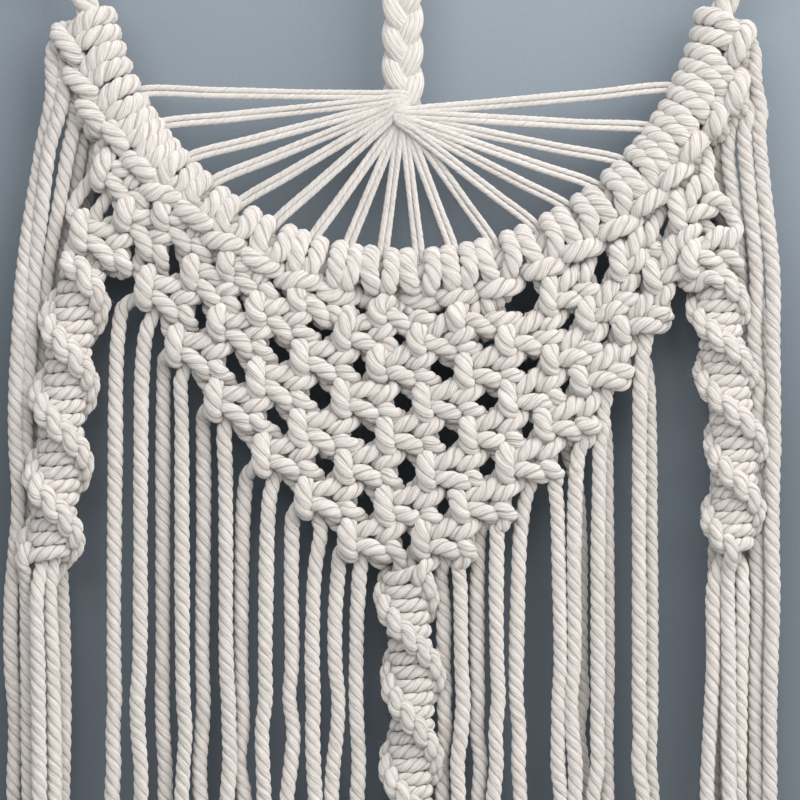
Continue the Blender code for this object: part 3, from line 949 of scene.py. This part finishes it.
def hang(route: Route, px: float, py: float, depth: float, sway: Sway = Sway()) -> None:
    """Let a cord hang from a place in the picture straight down to its cut end, with a slight wave.

    Args:
        route: The cord.
        px: Column where it hangs.
        py: Row from which it hangs straight.
        depth: Distance behind the middle plane, in millimetres.
        sway: How it waves.
    """
    start = place(px, py, depth)
    fall = start[2] - LOWEST
    steps = max(4, int(fall / sway.step))
    wobble = np.random.default_rng(int(px * 7 + py)).normal(size=(steps + 1, 2))
    for index in range(steps + 1):
        share = index / steps
        calm = min(1.0, sway.first_share + sway.growth * share)
        swing = sway.wave * math.sin(sway.column_phase * px + sway.step_phase * index)
        swing += sway.aside * wobble[index, 0]
        point = start + np.array((calm * swing, sway.deep * calm * wobble[index, 1], -fall * share))
        route.add(point, sway.hold)


# Fringe cords: row of the net, the knot's cord, the place where it leaves the knot, its column further down
# and its depth
LEFT_FRINGE = (
    (2, Slot.LEFT, (124, 304), 114, 2.0), (2, Slot.FIRST, (149, 322), 140, 0.0),
    (3, Slot.LEFT, (164, 360), 162, 4.4), (3, Slot.FIRST, (181, 376), 182, 0.0),
    (4, Slot.LEFT, (203, 414), 203, 4.4), (4, Slot.FIRST, (224, 430), 226, 0.0),
    (5, Slot.LEFT, (247, 474), 241, 4.6), (5, Slot.FIRST, (270, 494), 266, 0.0),
    (6, Slot.LEFT, (293, 514), 291, 2.0), (6, Slot.FIRST, (321, 528), 313, 0.5),
    (7, Slot.LEFT, (339, 560), 335, 1.0), (7, Slot.FIRST, (360, 566), 357, 1.0),
)
RIGHT_FRINGE = (
    (7, Slot.SECOND, (441, 570), 444, 3.6), (7, Slot.RIGHT, (459, 552), 461, -1.0),
    (6, Slot.SECOND, (480, 530), 477, 3.6), (6, Slot.RIGHT, (499, 512), 496, -1.0),
    (5, Slot.SECOND, (528, 490), 518, 2.0), (5, Slot.RIGHT, (553, 470), 559, -1.0),
    (4, Slot.SECOND, (566, 445), 582, 5.0), (4, Slot.RIGHT, (588, 420), 573, -1.5),
    (3, Slot.SECOND, (600, 396), 608, 4.4), (3, Slot.RIGHT, (616, 368), 597, -1.5),
    (2, Slot.SECOND, (638, 338), 652, 4.4), (2, Slot.RIGHT, (653, 312), 638, -1.5),
)
LEVEL_ROW = 665.0

# Loose cords at the sides, as places in the picture with a depth. Each list starts below its lark's head.
LEFT_SIDE_CORDS = (
    ((0, End.LEFT), (
        (57, 84, -2), (42, 147, 1), (33, 200, 1), (24, 275, 0), (19, 340, 0), (16, 400, 0), (16, 450, 1),
        (18, 500, 2), (14, 556, 3), (10, 600, 4), (10, 665, 5), (14, 720, 6), (12, 790, 6),
    )),
    ((0, End.RIGHT), (
        (63, 92, -2), (50, 147, -2), (43, 200, -1), (33, 275, 0), (30, 340, 1), (25, 400, 2),
        (25, 450, 3), (31, 500, 6), (38, 556, 7), (36, 620, 7), (33, 700, 7), (34, 790, 7),
    )),
    ((1, End.LEFT), (
        (76, 112, 1), (69, 147, 0), (60, 200, 0), (46, 275, 3), (41, 340, 6), (42, 400, 7), (44, 470, 8),
        (47, 556, 8), (50, 620, 8), (50, 700, 8), (50, 790, 8),
    )),
    ((1, End.RIGHT), (
        (86, 118, 4), (80, 147, 5), (72, 200, 6), (58, 275, 8), (54, 340, 9), (54, 400, 9),
        (54, 470, 10), (56, 556, 10), (60, 620, 9), (61, 700, 8), (60, 790, 8),
    )),
    ((2, End.LEFT), (
        (90, 134, 6), (82, 170, 9), (66, 220, 10), (50, 275, 10), (34, 340, 10), (31, 400, 10),
        (32, 470, 10), (28, 556, 10), (24, 620, 10), (23, 700, 10), (22, 790, 10),
    )),
    ((2, End.RIGHT), (
        (97, 134, 5), (92, 160, 7), (84, 200, 9), (70, 275, 11), (66, 340, 11), (64, 400, 12),
        (62, 470, 12), (58, 556, 12), (52, 620, 12), (44, 700, 11), (42, 790, 11),
    )),
)
RIGHT_SIDE_CORDS = (
    ((23, End.RIGHT), (
        (752, 72, -1), (757, 100, 0), (760, 147, 0), (765, 200, 0), (773, 275, 0), (773, 340, 0),
        (774, 400, 0), (773, 475, 0), (772, 545, 0), (773, 600, 0), (771, 665, 0), (770, 720, 0),
        (770, 790, 0),
    )),
    ((23, End.LEFT), (
        (744, 84, 0), (744, 110, 0), (745, 147, 0), (750, 200, 0), (757, 275, 1), (755, 340, 2),
        (758, 400, 3), (757, 475, 5), (757, 545, 4), (758, 600, 3), (756, 665, 3), (756, 720, 3),
        (757, 790, 3),
    )),
    ((22, End.RIGHT), (
        (733, 118, 1), (728, 147, 2), (734, 200, 2), (741, 275, 5), (741, 340, 8), (743, 400, 9),
        (744, 475, 9), (742, 545, 8), (741, 600, 7), (742, 665, 7), (743, 720, 7), (744, 790, 7),
    )),
    ((22, End.LEFT), (
        (724, 124, 4), (718, 147, 6), (722, 200, 7), (729, 275, 9), (728, 340, 10), (730, 400, 10),
        (732, 475, 10), (730, 545, 10), (728, 620, 9), (729, 720, 9), (730, 790, 9),
    )),
    ((21, End.RIGHT), (
        (718, 140, 6), (726, 170, 9), (744, 220, 10), (756, 275, 10), (764, 340, 9), (766, 400, 9),
        (766, 475, 9), (765, 545, 9), (765, 620, 9), (764, 720, 9), (764, 790, 9),
    )),
    ((21, End.LEFT), (
        (708, 140, 6), (710, 170, 10), (714, 220, 12), (716, 275, 13), (718, 340, 13), (720, 400, 13),
        (720, 475, 13), (718, 545, 12), (716, 620, 12), (716, 720, 11), (716, 790, 11),
    )),
)


SPIRALS = (
    HalfKnotSpiral(
        "spiral_left", (3, 4), knots=22, pitch=13.2,
        axis=((84, 268), (74, 315), (64, 392), (59, 470), (48, 560)), wide=(315, 392, 470),
        tails=((26, 27, 27, 2.0), (38, 39, 40, -3.5), (50, 53, 54, 0.0), (46, 47, 48, 5.5)),
    ),
    HalfKnotSpiral(
        "spiral_right", (19, 20), knots=22, pitch=12.4, half_width=7.9,
        axis=((716, 276), (718, 311), (726, 377), (737, 451), (731, 550)), wide=(311, 379, 450),
        tails=((714, 713, 708, -2.0), (727, 728, 728, -3.5), (742, 741, 742, 0.0), (735, 735, 737, 4.5)),
    ),
    HalfKnotSpiral(
        "spiral_centre", (11, 12), knots=27, pitch=13.3, half_width=7.9,
        axis=((405, 572), (406, 599), (413, 678), (411, 766), (412, 930)), wide=(599, 680, 766),
        tails=((398, 396, 396, -1.0), (410, 409, 409, -3.0), (424, 425, 425, 0.0), (412, 412, 411, 3.5)),
    ),
)


@dataclass
class WorkingCords:
    """The twenty-four folded cords, from their lark's heads through every knot to their cut ends.

    Where a fringe cord leaves its knot, it lies forward by "leaving_step". It then bends over to its own
    column in two places, and the shares say how much of the knot's column and of its own each of them takes.
    """

    finish: bpy.types.Material
    leaving_step: float = 0.8
    bend_below: float = 34
    bend_shares: tuple[float, float] = (0.35, 0.65)
    settled_below: float = 0.45
    settled_shares: tuple[float, float] = (0.08, 0.92)
    soft_hold: float = 0.05
    side_hold: float = 0.06
    settled_hold: float = 0.08
    side_row_step: float = 40
    ends: dict[tuple[int, End], Route] = field(default_factory=dict)

    def lay_out(self) -> None:
        """Lay all the cords through their knots."""
        for index, head in enumerate(HEADS):
            for end in End:
                self.ends[index, end] = head.end_route(end)
        net = KnottedNet()
        hands = net.tie(self.ends)
        for spiral, cords in zip(SPIRALS, hands):
            spiral.tie(cords)
        for table, column in ((LEFT_FRINGE, 0), (RIGHT_FRINGE, -1)):
            for row, slot, leaves, px, depth in table:
                self.lay_fringe(net.rows[row][column][slot], leaves, px, depth)
        for key, places in LEFT_SIDE_CORDS + RIGHT_SIDE_CORDS:
            route = self.ends[key]
            for px, py, depth in places:
                route.add(place(px, py, depth), self.side_hold)
            px, py, depth = places[-1]
            hang(route, px, py + self.side_row_step, depth)

    def lay_fringe(self, route: Route, leaves: tuple[float, float], px: float, depth: float) -> None:
        """Lay a fringe cord from its knot down to its cut end.

        Args:
            route: The cord.
            leaves: Column and row of the place where it leaves the knot.
            px: Column where it hangs.
            depth: Distance behind the middle plane, in millimetres.
        """
        column, row = leaves
        route.add(place(column, row, depth - self.leaving_step), self.soft_hold)
        settled = row + self.settled_below * (LEVEL_ROW - row)
        near, far = self.bend_shares
        route.add(place(near * column + far * px, row + self.bend_below, depth), self.soft_hold)
        near, far = self.settled_shares
        route.add(place(near * column + far * px, settled, depth), self.settled_hold)
        hang(route, px, LEVEL_ROW, depth)

    def nodes_of(self, index: int) -> tuple[str, ...]:
        """Find the solids that a cord stands for.

        Args:
            index: Number of the cord, from the left.

        Returns:
            The solids.
        """
        if index < EDGE_HEADS:
            return ("side_cords_left",)
        if index >= len(HEADS) - EDGE_HEADS:
            return ("side_cords_right",)
        return ("knotted_net", *(spiral.node for spiral in SPIRALS if index in spiral.heads))

    def build(self, core: list[Point]) -> None:
        """Settle the cords around the holding cord and make their ropes.

        Args:
            core: The middle line of the holding cord.
        """
        self.lay_out()
        settler = Settler()
        settler.add(np.array(core), np.tile((1.0, 1.0, 0.0), (len(core), 1)), CORE_RADIUS, still=True)
        numbers = []
        for index in range(len(HEADS)):
            left, right = self.ends[index, End.LEFT], self.ends[index, End.RIGHT]
            points = np.array(left.points[::-1] + right.points[1:])
            traits = np.array(left.traits[::-1] + right.traits[1:])
            numbers.append(settler.add(points, traits, TOUCH_RADIUS))
        settler.settle()
        maker, fuzz = RopeMaker(WORKING_ROPE), Fuzz()
        for index, number in enumerate(numbers):
            mesh = maker.make(settler.lines[number], 0.37 * index + 0.11, settler.traits[number])
            meshes = [mesh, fuzz.grow(settler.lines[number], index, CORD_RADIUS)]
            name = f"working_cord_{index + 1:02d}"
            finish_piece(name, meshes, self.finish, self.nodes_of(index))


@dataclass
class HoldingCord:
    """The thick cord inside the lark's heads, with a bare end rising to the left and to the right."""

    finish: bpy.types.Material
    arc_half_angle: float = 79.5
    arc_steps: int = 60
    lean: float = math.tan(math.radians(22))
    rise_shares: tuple[float, ...] = (1.0, 0.8, 0.6, 0.4, 0.22)

    def line(self) -> list[Point]:
        """Lay out the cord's middle line.

        Returns:
            Its places, from its left end to its right end.
        """
        angles = np.linspace(-self.arc_half_angle, self.arc_half_angle, self.arc_steps)
        curve = [around_arc(angle, ARC_RADIUS) for angle in angles]
        rise = -curve[0][2]
        left, right = [], []
        for share in self.rise_shares:
            for foot, side, ends in ((curve[0], -1, left), (curve[-1], 1, right)):
                ends.append(foot + np.array((side * self.lean * rise * share, 0.0, rise * share)))
        return left + curve + right[::-1]

    def build(self) -> None:
        """Make the holding cord."""
        mesh = RopeMaker(HOLDING_ROPE).make(np.array(self.line()), 0.5)
        nodes = ("holding_cord_left", "holding_cord_right")
        finish_piece("holding_cord", [mesh], self.finish, nodes)


# Where the pairs of thin strings go in between the wraps, as places in the picture
STRING_PLACES = (
    (141, 91), (159, 124), (189, 157), (213, 181), (239, 203), (274, 223), (312, 239), (348, 245),
    (383, 252), (419, 252), (453, 248), (492, 240), (535, 225), (569, 207), (598, 186), (624, 161),
    (655, 128), (674, 87),
)


@dataclass(frozen=True)
class Crossing:
    """A place at the gather that each further pair of strings passes a step farther on."""

    column: float
    row: float
    column_step: float
    row_step: float
    depth: float

    def at(self, steps: int) -> Point:
        """Return the place of the pair that is so many steps from the outermost one."""
        return place(self.column + self.column_step * steps, self.row + self.row_step * steps, self.depth)


# The places where the strings cross in front of the gather and where they are then tucked in
LEFT_CROSSING = (Crossing(405.0, 96.5, -0.3, 2.2, -5.2), Crossing(411.0, 104.0, 0.0, 0.8, -1.0))
RIGHT_CROSSING = (Crossing(394.5, 113.0, 0.4, 1.2, -5.4), Crossing(397.0, 105.5, 0.5, 0.6, -1.0))
MIDDLE_TUCK = Crossing(402.0, 112.0, 0.0, 0.0, 0.0)
LEFT_MIDDLE = (Crossing(397.5, 120.0, 1.5, 0.8, -3.0), MIDDLE_TUCK)
RIGHT_MIDDLE = (Crossing(406.5, 120.0, -1.5, 0.8, -3.0), MIDDLE_TUCK)
FIRST_MIDDLE_PAIR = 6


@dataclass
class StringFan:
    """Thirty-six thin strings: braided in three above the gather, and fanned out in pairs below it."""

    finish: bpy.types.Material
    gather_px: float = 403.0
    gather_py: float = 112.0
    braid_pitch: float = 10.6
    braid_half_width: float = 3.45
    braid_half_depth: float = 1.9
    braid_forward: float = 0.5
    braid_foot: float = 3.0
    braid_opening: float = 6.0
    braid_narrowest: float = 0.35
    braid_step: float = 1.3
    braid_flat: float = 0.16
    pair_gap: float = 1.02
    ends_behind: tuple[float, float] = (7.0, 1.0)
    shares_on: tuple[float, ...] = (0.3, 0.6, 0.88)
    sag: float = 1.2
    ripple: float = 0.35
    closing: float = 0.25
    gap_at_gather: float = 0.6

    def braid_strand(self, strand: int) -> np.ndarray:
        """Lay out one of the braid's three strands, from the gather to the top.

        Args:
            strand: Number of the strand.

        Returns:
            Places along the strand.
        """
        gather = place(self.gather_px, self.gather_py)
        foot = gather[2] - self.braid_foot
        heights = np.append(np.arange(foot, 0.0, self.braid_step), 0.0)
        turn = math.tau * (heights / (3 * self.braid_pitch) + strand / 3)
        opening = (heights - gather[2] + self.braid_foot) / self.braid_opening
        narrow = np.clip(opening, self.braid_narrowest, 1.0)
        return np.stack((gather[0] + narrow * self.braid_half_width * np.sin(turn),
                         -self.braid_forward - self.braid_half_depth * np.sin(2 * turn), heights), axis=1)

    def string(self, pair: int, which: int) -> np.ndarray:
        """Lay out one string, from behind its lark's head up to the gather.

        Args:
            pair: Number of the pair, from the left.
            which: Which of the pair's strings: -1 or 1.

        Returns:
            Places along the string.
        """
        goal = place(*STRING_PLACES[pair])
        out = goal - ARC_CENTRE
        out /= np.linalg.norm(out)
        on_left = pair < len(STRING_PLACES) // 2
        rank = pair if on_left else len(STRING_PLACES) - 1 - pair
        if rank < FIRST_MIDDLE_PAIR:
            steps, crossing = rank, LEFT_CROSSING if on_left else RIGHT_CROSSING
        else:
            steps, crossing = rank - FIRST_MIDDLE_PAIR, LEFT_MIDDLE if on_left else RIGHT_MIDDLE
        start, tucked = (passed.at(steps) for passed in crossing)
        run = goal - start
        across = np.array((-run[2], 0.0, run[0])) / np.linalg.norm(run)
        across = across * which * self.pair_gap
        places = [goal + out * length + across for length in self.ends_behind]
        for share in self.shares_on:
            forward = self.ripple * math.sin(3.0 * pair + 2.0 * which + 5 * share)
            sag = np.array((0.0, forward, -self.sag * share * (1 - share)))
            places.append(goal + (start - goal) * share + across * (1 - self.closing * share) + sag)
        return np.array(places + [start + across * self.gap_at_gather, tucked])

    def build(self) -> None:
        """Make the braid and the strings."""
        maker, strand_maker = RopeMaker(THIN_STRING), RopeMaker(BRAID_STRAND, lays=1)
        meshes = []
        for strand in range(3):
            line = self.braid_strand(strand)
            traits = np.tile((0.0, 1.0, self.braid_flat), (len(line), 1))
            meshes.append(strand_maker.make(line, 0.3 + strand, traits))
        for pair in range(len(STRING_PLACES)):
            for which in (-1, 1):
                meshes.append(maker.make(self.string(pair, which), 0.21 * pair + 0.1 * which + 0.4))
        finish_piece("string_fan", meshes, self.finish, ("fan_and_braid",))


Fed = bpy.types.NodeSocket | float | tuple[float, ...]


@dataclass
class Wiring:
    """Adds nodes to a shader's tree and joins them."""

    tree: bpy.types.NodeTree

    def feed(self, socket: bpy.types.NodeSocket, value: Fed) -> None:
        """Join a socket to another one, or give it a plain value.

        Args:
            socket: The socket that is fed.
            value: The other socket or the value.
        """
        if isinstance(value, bpy.types.NodeSocket):
            self.tree.links.new(value, socket)
        else:
            socket.default_value = value

    def node(self, kind: str, feeds: dict[str | int, Fed] | None = None,
             **settings: object) -> bpy.types.Node:
        """Add a node.

        Args:
            kind: Its type.
            feeds: What its sockets are fed with.
            **settings: Settings of the node itself, made before its sockets are fed.

        Returns:
            The node.
        """
        made = self.tree.nodes.new(kind)
        for name, value in settings.items():
            setattr(made, name, value)
        for socket, value in (feeds or {}).items():
            self.feed(made.inputs[socket], value)
        return made

    def maths(self, operation: str, *values: Fed) -> bpy.types.NodeSocket:
        """Add a sum of two or three values and return its result."""
        return self.node("ShaderNodeMath", dict(enumerate(values)), operation=operation).outputs[0]

    def attribute(self, name: str) -> bpy.types.Node:
        """Add a node that reads an attribute of the piece."""
        return self.node("ShaderNodeAttribute", attribute_name=name)


@dataclass(frozen=True)
class FibreNoise:
    """A noise that runs along the rope: how it is stretched, how fine it is and how detailed."""

    stretch: tuple[float, float, float]
    scale: float
    detail: float
    roughness: float = 0.6

    def value(self, wiring: Wiring, scale: bpy.types.NodeSocket) -> bpy.types.NodeSocket:
        """Add the noise.

        Args:
            wiring: The tree to add it to.
            scale: What its own scale is multiplied by.

        Returns:
            Its value.
        """
        feeds = {"Scale": self.stretch, "Vector": wiring.attribute("fibre").outputs["Vector"]}
        mapping = wiring.node("ShaderNodeMapping", feeds)
        feeds = {"Vector": mapping.outputs["Vector"], "Scale": wiring.maths("MULTIPLY", scale, self.scale),
                 "Detail": self.detail, "Roughness": self.roughness}
        return wiring.node("ShaderNodeTexNoise", feeds).outputs["Fac"]


@dataclass(frozen=True)
class YarnFibres:
    """How the fibres of a twisted yarn are drawn, with shade painted into the grooves between its plies in
    the groove shade colour.
    """

    name: str = "yarn_fibres"
    fine: FibreNoise = FibreNoise((1.0, 1.0, 0.08), 4.0, 2.0)
    coarse: FibreNoise = FibreNoise((1.0, 1.0, 0.25), 0.9, 2.0)
    patch: FibreNoise = FibreNoise((1.0, 1.0, 1.0), 0.09, 1.0)
    # Painted shade: groove_shade and groove_power set how dark and how narrow the painted grooves are
    crest_level: float = 0.82
    groove_shade: float = 1.8
    groove_power: float = 4.6
    streak: float = 2.7
    broad_streak: float = 0.35
    cord_difference: float = 0.04
    patch_difference: float = 0.10
    darkest: float = 0.93
    coarse_height: float = 1.3

    def group(self) -> bpy.types.NodeTree:
        """Build the shader group the first time, and find it again after that.

        Returns:
            The group.
        """
        known = bpy.data.node_groups.get(self.name)
        if known:
            return known
        tree = bpy.data.node_groups.new(self.name, "ShaderNodeTree")
        for name, way, kind in (
            ("Crest colour", "INPUT", "NodeSocketColor"),
            ("Groove shade colour", "INPUT", "NodeSocketColor"),
            ("Scale", "INPUT", "NodeSocketFloat"),
            ("Colour", "OUTPUT", "NodeSocketColor"),
            ("Height", "OUTPUT", "NodeSocketFloat"),
        ):
            tree.interface.new_socket(name, in_out=way, socket_type=kind)
        wiring = Wiring(tree)
        enter = wiring.node("NodeGroupInput").outputs
        noises = (self.fine, self.coarse, self.patch)
        fine, coarse, patch = (noise.value(wiring, enter["Scale"]) for noise in noises)
        # Painted shade: the grooves between the plies darken towards the groove shade colour, in broken lines
        crest = wiring.attribute("crest").outputs["Fac"]
        groove = wiring.maths("POWER", wiring.maths("SUBTRACT", 1.0, crest), self.groove_power)
        shaded = wiring.maths("MULTIPLY", groove, coarse)
        shaded = wiring.maths("MULTIPLY_ADD", shaded, -self.groove_shade, self.crest_level)
        streak = wiring.maths("MULTIPLY_ADD", wiring.maths("SUBTRACT", fine, 0.5), self.streak, shaded)
        broad = wiring.maths("MULTIPLY_ADD", wiring.maths("SUBTRACT", coarse, 0.5), self.broad_streak, streak)
        feeds = {"Factor": broad, "A": enter["Groove shade colour"], "B": enter["Crest colour"]}
        mix = wiring.node("ShaderNodeMix", feeds, data_type="RGBA")
        level = wiring.maths("MULTIPLY_ADD", patch, self.patch_difference, self.darkest)
        tint = wiring.attribute("tint").outputs["Fac"]
        value = wiring.maths("MULTIPLY_ADD", tint, self.cord_difference, level)
        tone = wiring.node("ShaderNodeHueSaturation", {"Value": value, "Color": mix.outputs["Result"]})
        height = wiring.maths("MULTIPLY_ADD", coarse, self.coarse_height, fine)
        wiring.node("NodeGroupOutput", {"Colour": tone.outputs["Color"], "Height": height})
        return tree


@dataclass(frozen=True)
class CottonFinish:
    """Undyed cotton: its colour on the crests, the colour of the shade painted into its grooves, and how
    strongly its fibres show.
    """

    name: str
    crest: tuple[float, float, float] = (0.83, 0.79, 0.755)
    # Colour of the shade painted into the grooves between the plies
    groove: tuple[float, float, float] = (0.42, 0.365, 0.32)
    roughness: float = 0.9
    fibre_scale: float = 1.0
    bump: float = 0.8
    bump_distance: float = 0.0006
    specular: float = 0.25
    diffuse_roughness: float = 1.0
    sheen: float = 0.35
    sheen_roughness: float = 0.5

    def material(self) -> bpy.types.Material:
        """Build the material.

        Returns:
            The material.
        """
        made = bpy.data.materials.new(self.name)
        made.use_nodes = True
        wiring = Wiring(made.node_tree)
        feeds = {"Crest colour": (*self.crest, 1.0), "Groove shade colour": (*self.groove, 1.0),
                 "Scale": self.fibre_scale}
        yarn = wiring.node("ShaderNodeGroup", feeds, node_tree=YarnFibres().group())
        feeds = {"Strength": self.bump, "Distance": self.bump_distance, "Height": yarn.outputs["Height"]}
        bump = wiring.node("ShaderNodeBump", feeds)
        shader = made.node_tree.nodes["Principled BSDF"]
        for name, value in (
            ("Base Color", yarn.outputs["Colour"]),
            ("Normal", bump.outputs["Normal"]),
            ("Roughness", self.roughness),
            ("Specular IOR Level", self.specular),
            ("Diffuse Roughness", self.diffuse_roughness),
            ("Sheen Weight", self.sheen),
            ("Sheen Roughness", self.sheen_roughness),
        ):
            wiring.feed(shader.inputs[name], value)
        return made


@dataclass(frozen=True)
class Lamp:
    """A soft square light."""

    name: str
    spot: tuple[float, float, float]
    size: float
    power: float
    colour: Colour

    def build(self, target: Vector) -> None:
        """Add the light.

        Args:
            target: The place it points at.
        """
        lamp = bpy.data.lights.new(self.name, "AREA")
        lamp.size = self.size
        lamp.energy = self.power
        lamp.color = self.colour
        holder = bpy.data.objects.new(self.name, lamp)
        holder.location = self.spot
        holder.rotation_euler = (target - Vector(self.spot)).to_track_quat("-Z", "Y").to_euler()
        bpy.context.scene.collection.objects.link(holder)


@dataclass
class Studio:
    """The backdrop with shade painted darker towards its foot and its left side, the plain floor, the soft
    lights and the camera.
    """

    view_width: float = 266.667
    view_centre: tuple[float, float] = (-1.333, -193.333)
    camera_distance: float = 1500.0
    sensor_width: float = 36.0
    nearest: float = 0.05
    farthest: float = 10.0
    backdrop_depth: float = 19.0
    backdrop_colour: Colour = (0.270, 0.311, 0.352)
    # Painted shade on the backdrop: darker colour towards its foot, and darker towards its left side, where
    # less light falls
    backdrop_painted_shade_colour: Colour = (0.168, 0.198, 0.226)
    backdrop_half: tuple[float, float] = (1.2, 0.9)
    painted_shade_heights: tuple[float, float] = (-0.235, -0.075)
    painted_shade_columns: tuple[float, float] = (-0.15, 0.02)
    painted_left_shade_level: float = 0.88
    speck_scale: float = 1100.0
    speck_levels: tuple[float, float] = (0.94, 1.06)
    floor_colour: Colour = (0.72, 0.72, 0.70)
    floor_height: float = -0.9
    floor_half: float = 2.0
    sky_colour: Colour = (0.93, 0.96, 1.0)
    sky_strength: float = 0.39
    target: tuple[float, float, float] = (0.0, 0.0, -0.19)
    lamps: tuple[Lamp, ...] = (Lamp("key", (0.72, -0.82, 0.48), 1.3, 18.8, (1.0, 0.985, 0.965)),
                               Lamp("fill", (-0.35, -1.2, 0.50), 0.9, 7.5, (0.97, 0.985, 1.0)))

    def sheet(self, name: str, corners: list[tuple[float, float, float]],
              colour: Colour) -> bpy.types.Material:
        """Make a plain staged sheet.

        Args:
            name: The sheet's name.
            corners: Its corners, in metres.
            colour: Its colour.

        Returns:
            Its material.
        """
        bm = bmesh.new()
        bm.faces.new([bm.verts.new(corner) for corner in corners])
        mesh = to_mesh(bm, name)
        sheet = bpy.data.objects.new(name, mesh)
        bpy.context.scene.collection.objects.link(sheet)
        material = bpy.data.materials.new(name)
        material.use_nodes = True
        shader = material.node_tree.nodes["Principled BSDF"]
        shader.inputs["Base Color"].default_value = (*colour, 1.0)
        shader.inputs["Roughness"].default_value = 0.95
        shader.inputs["Specular IOR Level"].default_value = 0.1
        mesh.materials.append(material)
        return material

    def paint_backdrop_shade(self, material: bpy.types.Material) -> None:
        """Paint shade on the backdrop, darker towards its foot and its left side, add faint specks, and let
        it be clear from behind.

        Args:
            material: The backdrop's material.
        """
        wiring = Wiring(material.node_tree)
        spot = wiring.node("ShaderNodeTexCoord").outputs["Object"]
        split = wiring.node("ShaderNodeSeparateXYZ", {"Vector": spot}).outputs

        def ramp(value: bpy.types.NodeSocket, ends: tuple[float, float],
                 lowest: float = 0.0) -> bpy.types.NodeSocket:
            """Add a smooth rise from a lowest value to 1 between two ends, and return its result."""
            feeds = {"Value": value, "From Min": ends[0], "From Max": ends[1], "To Min": lowest}
            return wiring.node("ShaderNodeMapRange", feeds, interpolation_type="SMOOTHSTEP").outputs["Result"]

        # Painted shade: the colour darkens towards the backdrop's foot
        feeds = {"Factor": ramp(split["Z"], self.painted_shade_heights), "A": (*self.backdrop_painted_shade_colour, 1.0),
                 "B": (*self.backdrop_colour, 1.0)}
        mix = wiring.node("ShaderNodeMix", feeds, data_type="RGBA")
        speck = wiring.node("ShaderNodeTexNoise", {"Vector": spot, "Scale": self.speck_scale, "Detail": 1.0})
        darkest, lightest = self.speck_levels
        feeds = {"Value": speck.outputs["Fac"], "To Min": darkest, "To Max": lightest}
        grain = wiring.node("ShaderNodeMapRange", feeds).outputs["Result"]
        # The specks, times the painted shade that darkens the left side
        shade = wiring.maths("MULTIPLY", grain, ramp(split["X"], self.painted_shade_columns, self.painted_left_shade_level))
        tone = wiring.node("ShaderNodeHueSaturation", {"Color": mix.outputs["Result"], "Value": shade})
        shader = material.node_tree.nodes["Principled BSDF"]
        wiring.feed(shader.inputs["Base Color"], tone.outputs["Color"])
        feeds = {"Fac": wiring.node("ShaderNodeNewGeometry").outputs["Backfacing"], 1: shader.outputs["BSDF"],
                 2: wiring.node("ShaderNodeBsdfTransparent").outputs["BSDF"]}
        sided = wiring.node("ShaderNodeMixShader", feeds)
        wiring.feed(material.node_tree.nodes["Material Output"].inputs["Surface"], sided.outputs["Shader"])

    def build(self) -> None:
        """Set everything up."""
        scene = bpy.context.scene
        scene.view_settings.view_transform = "Standard"
        deep, foot, reach = self.backdrop_depth * MM, self.floor_height, self.floor_half
        half, top = self.backdrop_half
        corners = [(-half, deep, -top), (half, deep, -top), (half, deep, top), (-half, deep, top)]
        self.paint_backdrop_shade(self.sheet("backdrop", corners, self.backdrop_colour))
        corners = [(-reach, -reach, foot), (reach, -reach, foot), (reach, reach, foot), (-reach, reach, foot)]
        self.sheet("floor", corners, self.floor_colour)
        world = bpy.data.worlds.new("studio")
        scene.world = world
        world.use_nodes = True
        sky = world.node_tree.nodes["Background"]
        sky.inputs["Color"].default_value = (*self.sky_colour, 1.0)
        sky.inputs["Strength"].default_value = self.sky_strength
        for lamp in self.lamps:
            lamp.build(Vector(self.target))
        self.camera()

    def camera(self) -> None:
        """Set up the camera straight in front."""
        camera = bpy.data.cameras.new("camera")
        camera.sensor_width = self.sensor_width
        camera.lens = self.sensor_width * self.camera_distance / self.view_width
        camera.clip_start = self.nearest
        camera.clip_end = self.farthest
        holder = bpy.data.objects.new("camera", camera)
        x, z = self.view_centre
        holder.location = Vector((x, -self.camera_distance, z)) * MM
        holder.rotation_euler = (math.radians(90), 0.0, 0.0)
        bpy.context.scene.collection.objects.link(holder)
        bpy.context.scene.camera = holder


def main() -> None:
    """Build the hanging and its studio."""
    logging.basicConfig(level=logging.INFO, format="%(name)s: %(message)s")
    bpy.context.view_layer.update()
    Studio().build()
    cotton = CottonFinish("working_cotton").material()
    thick = CottonFinish("holding_cotton", fibre_scale=0.8).material()
    # The strings get a lighter painted shade in their grooves
    thin = CottonFinish("string_cotton", crest=(0.82, 0.785, 0.755), groove=(0.52, 0.46, 0.40),
                        fibre_scale=1.2, bump=0.6).material()
    holding = HoldingCord(thick)
    holding.build()
    WorkingCords(cotton).build(holding.line())
    StringFan(thin).build()


if __name__ == "__main__":
    main()
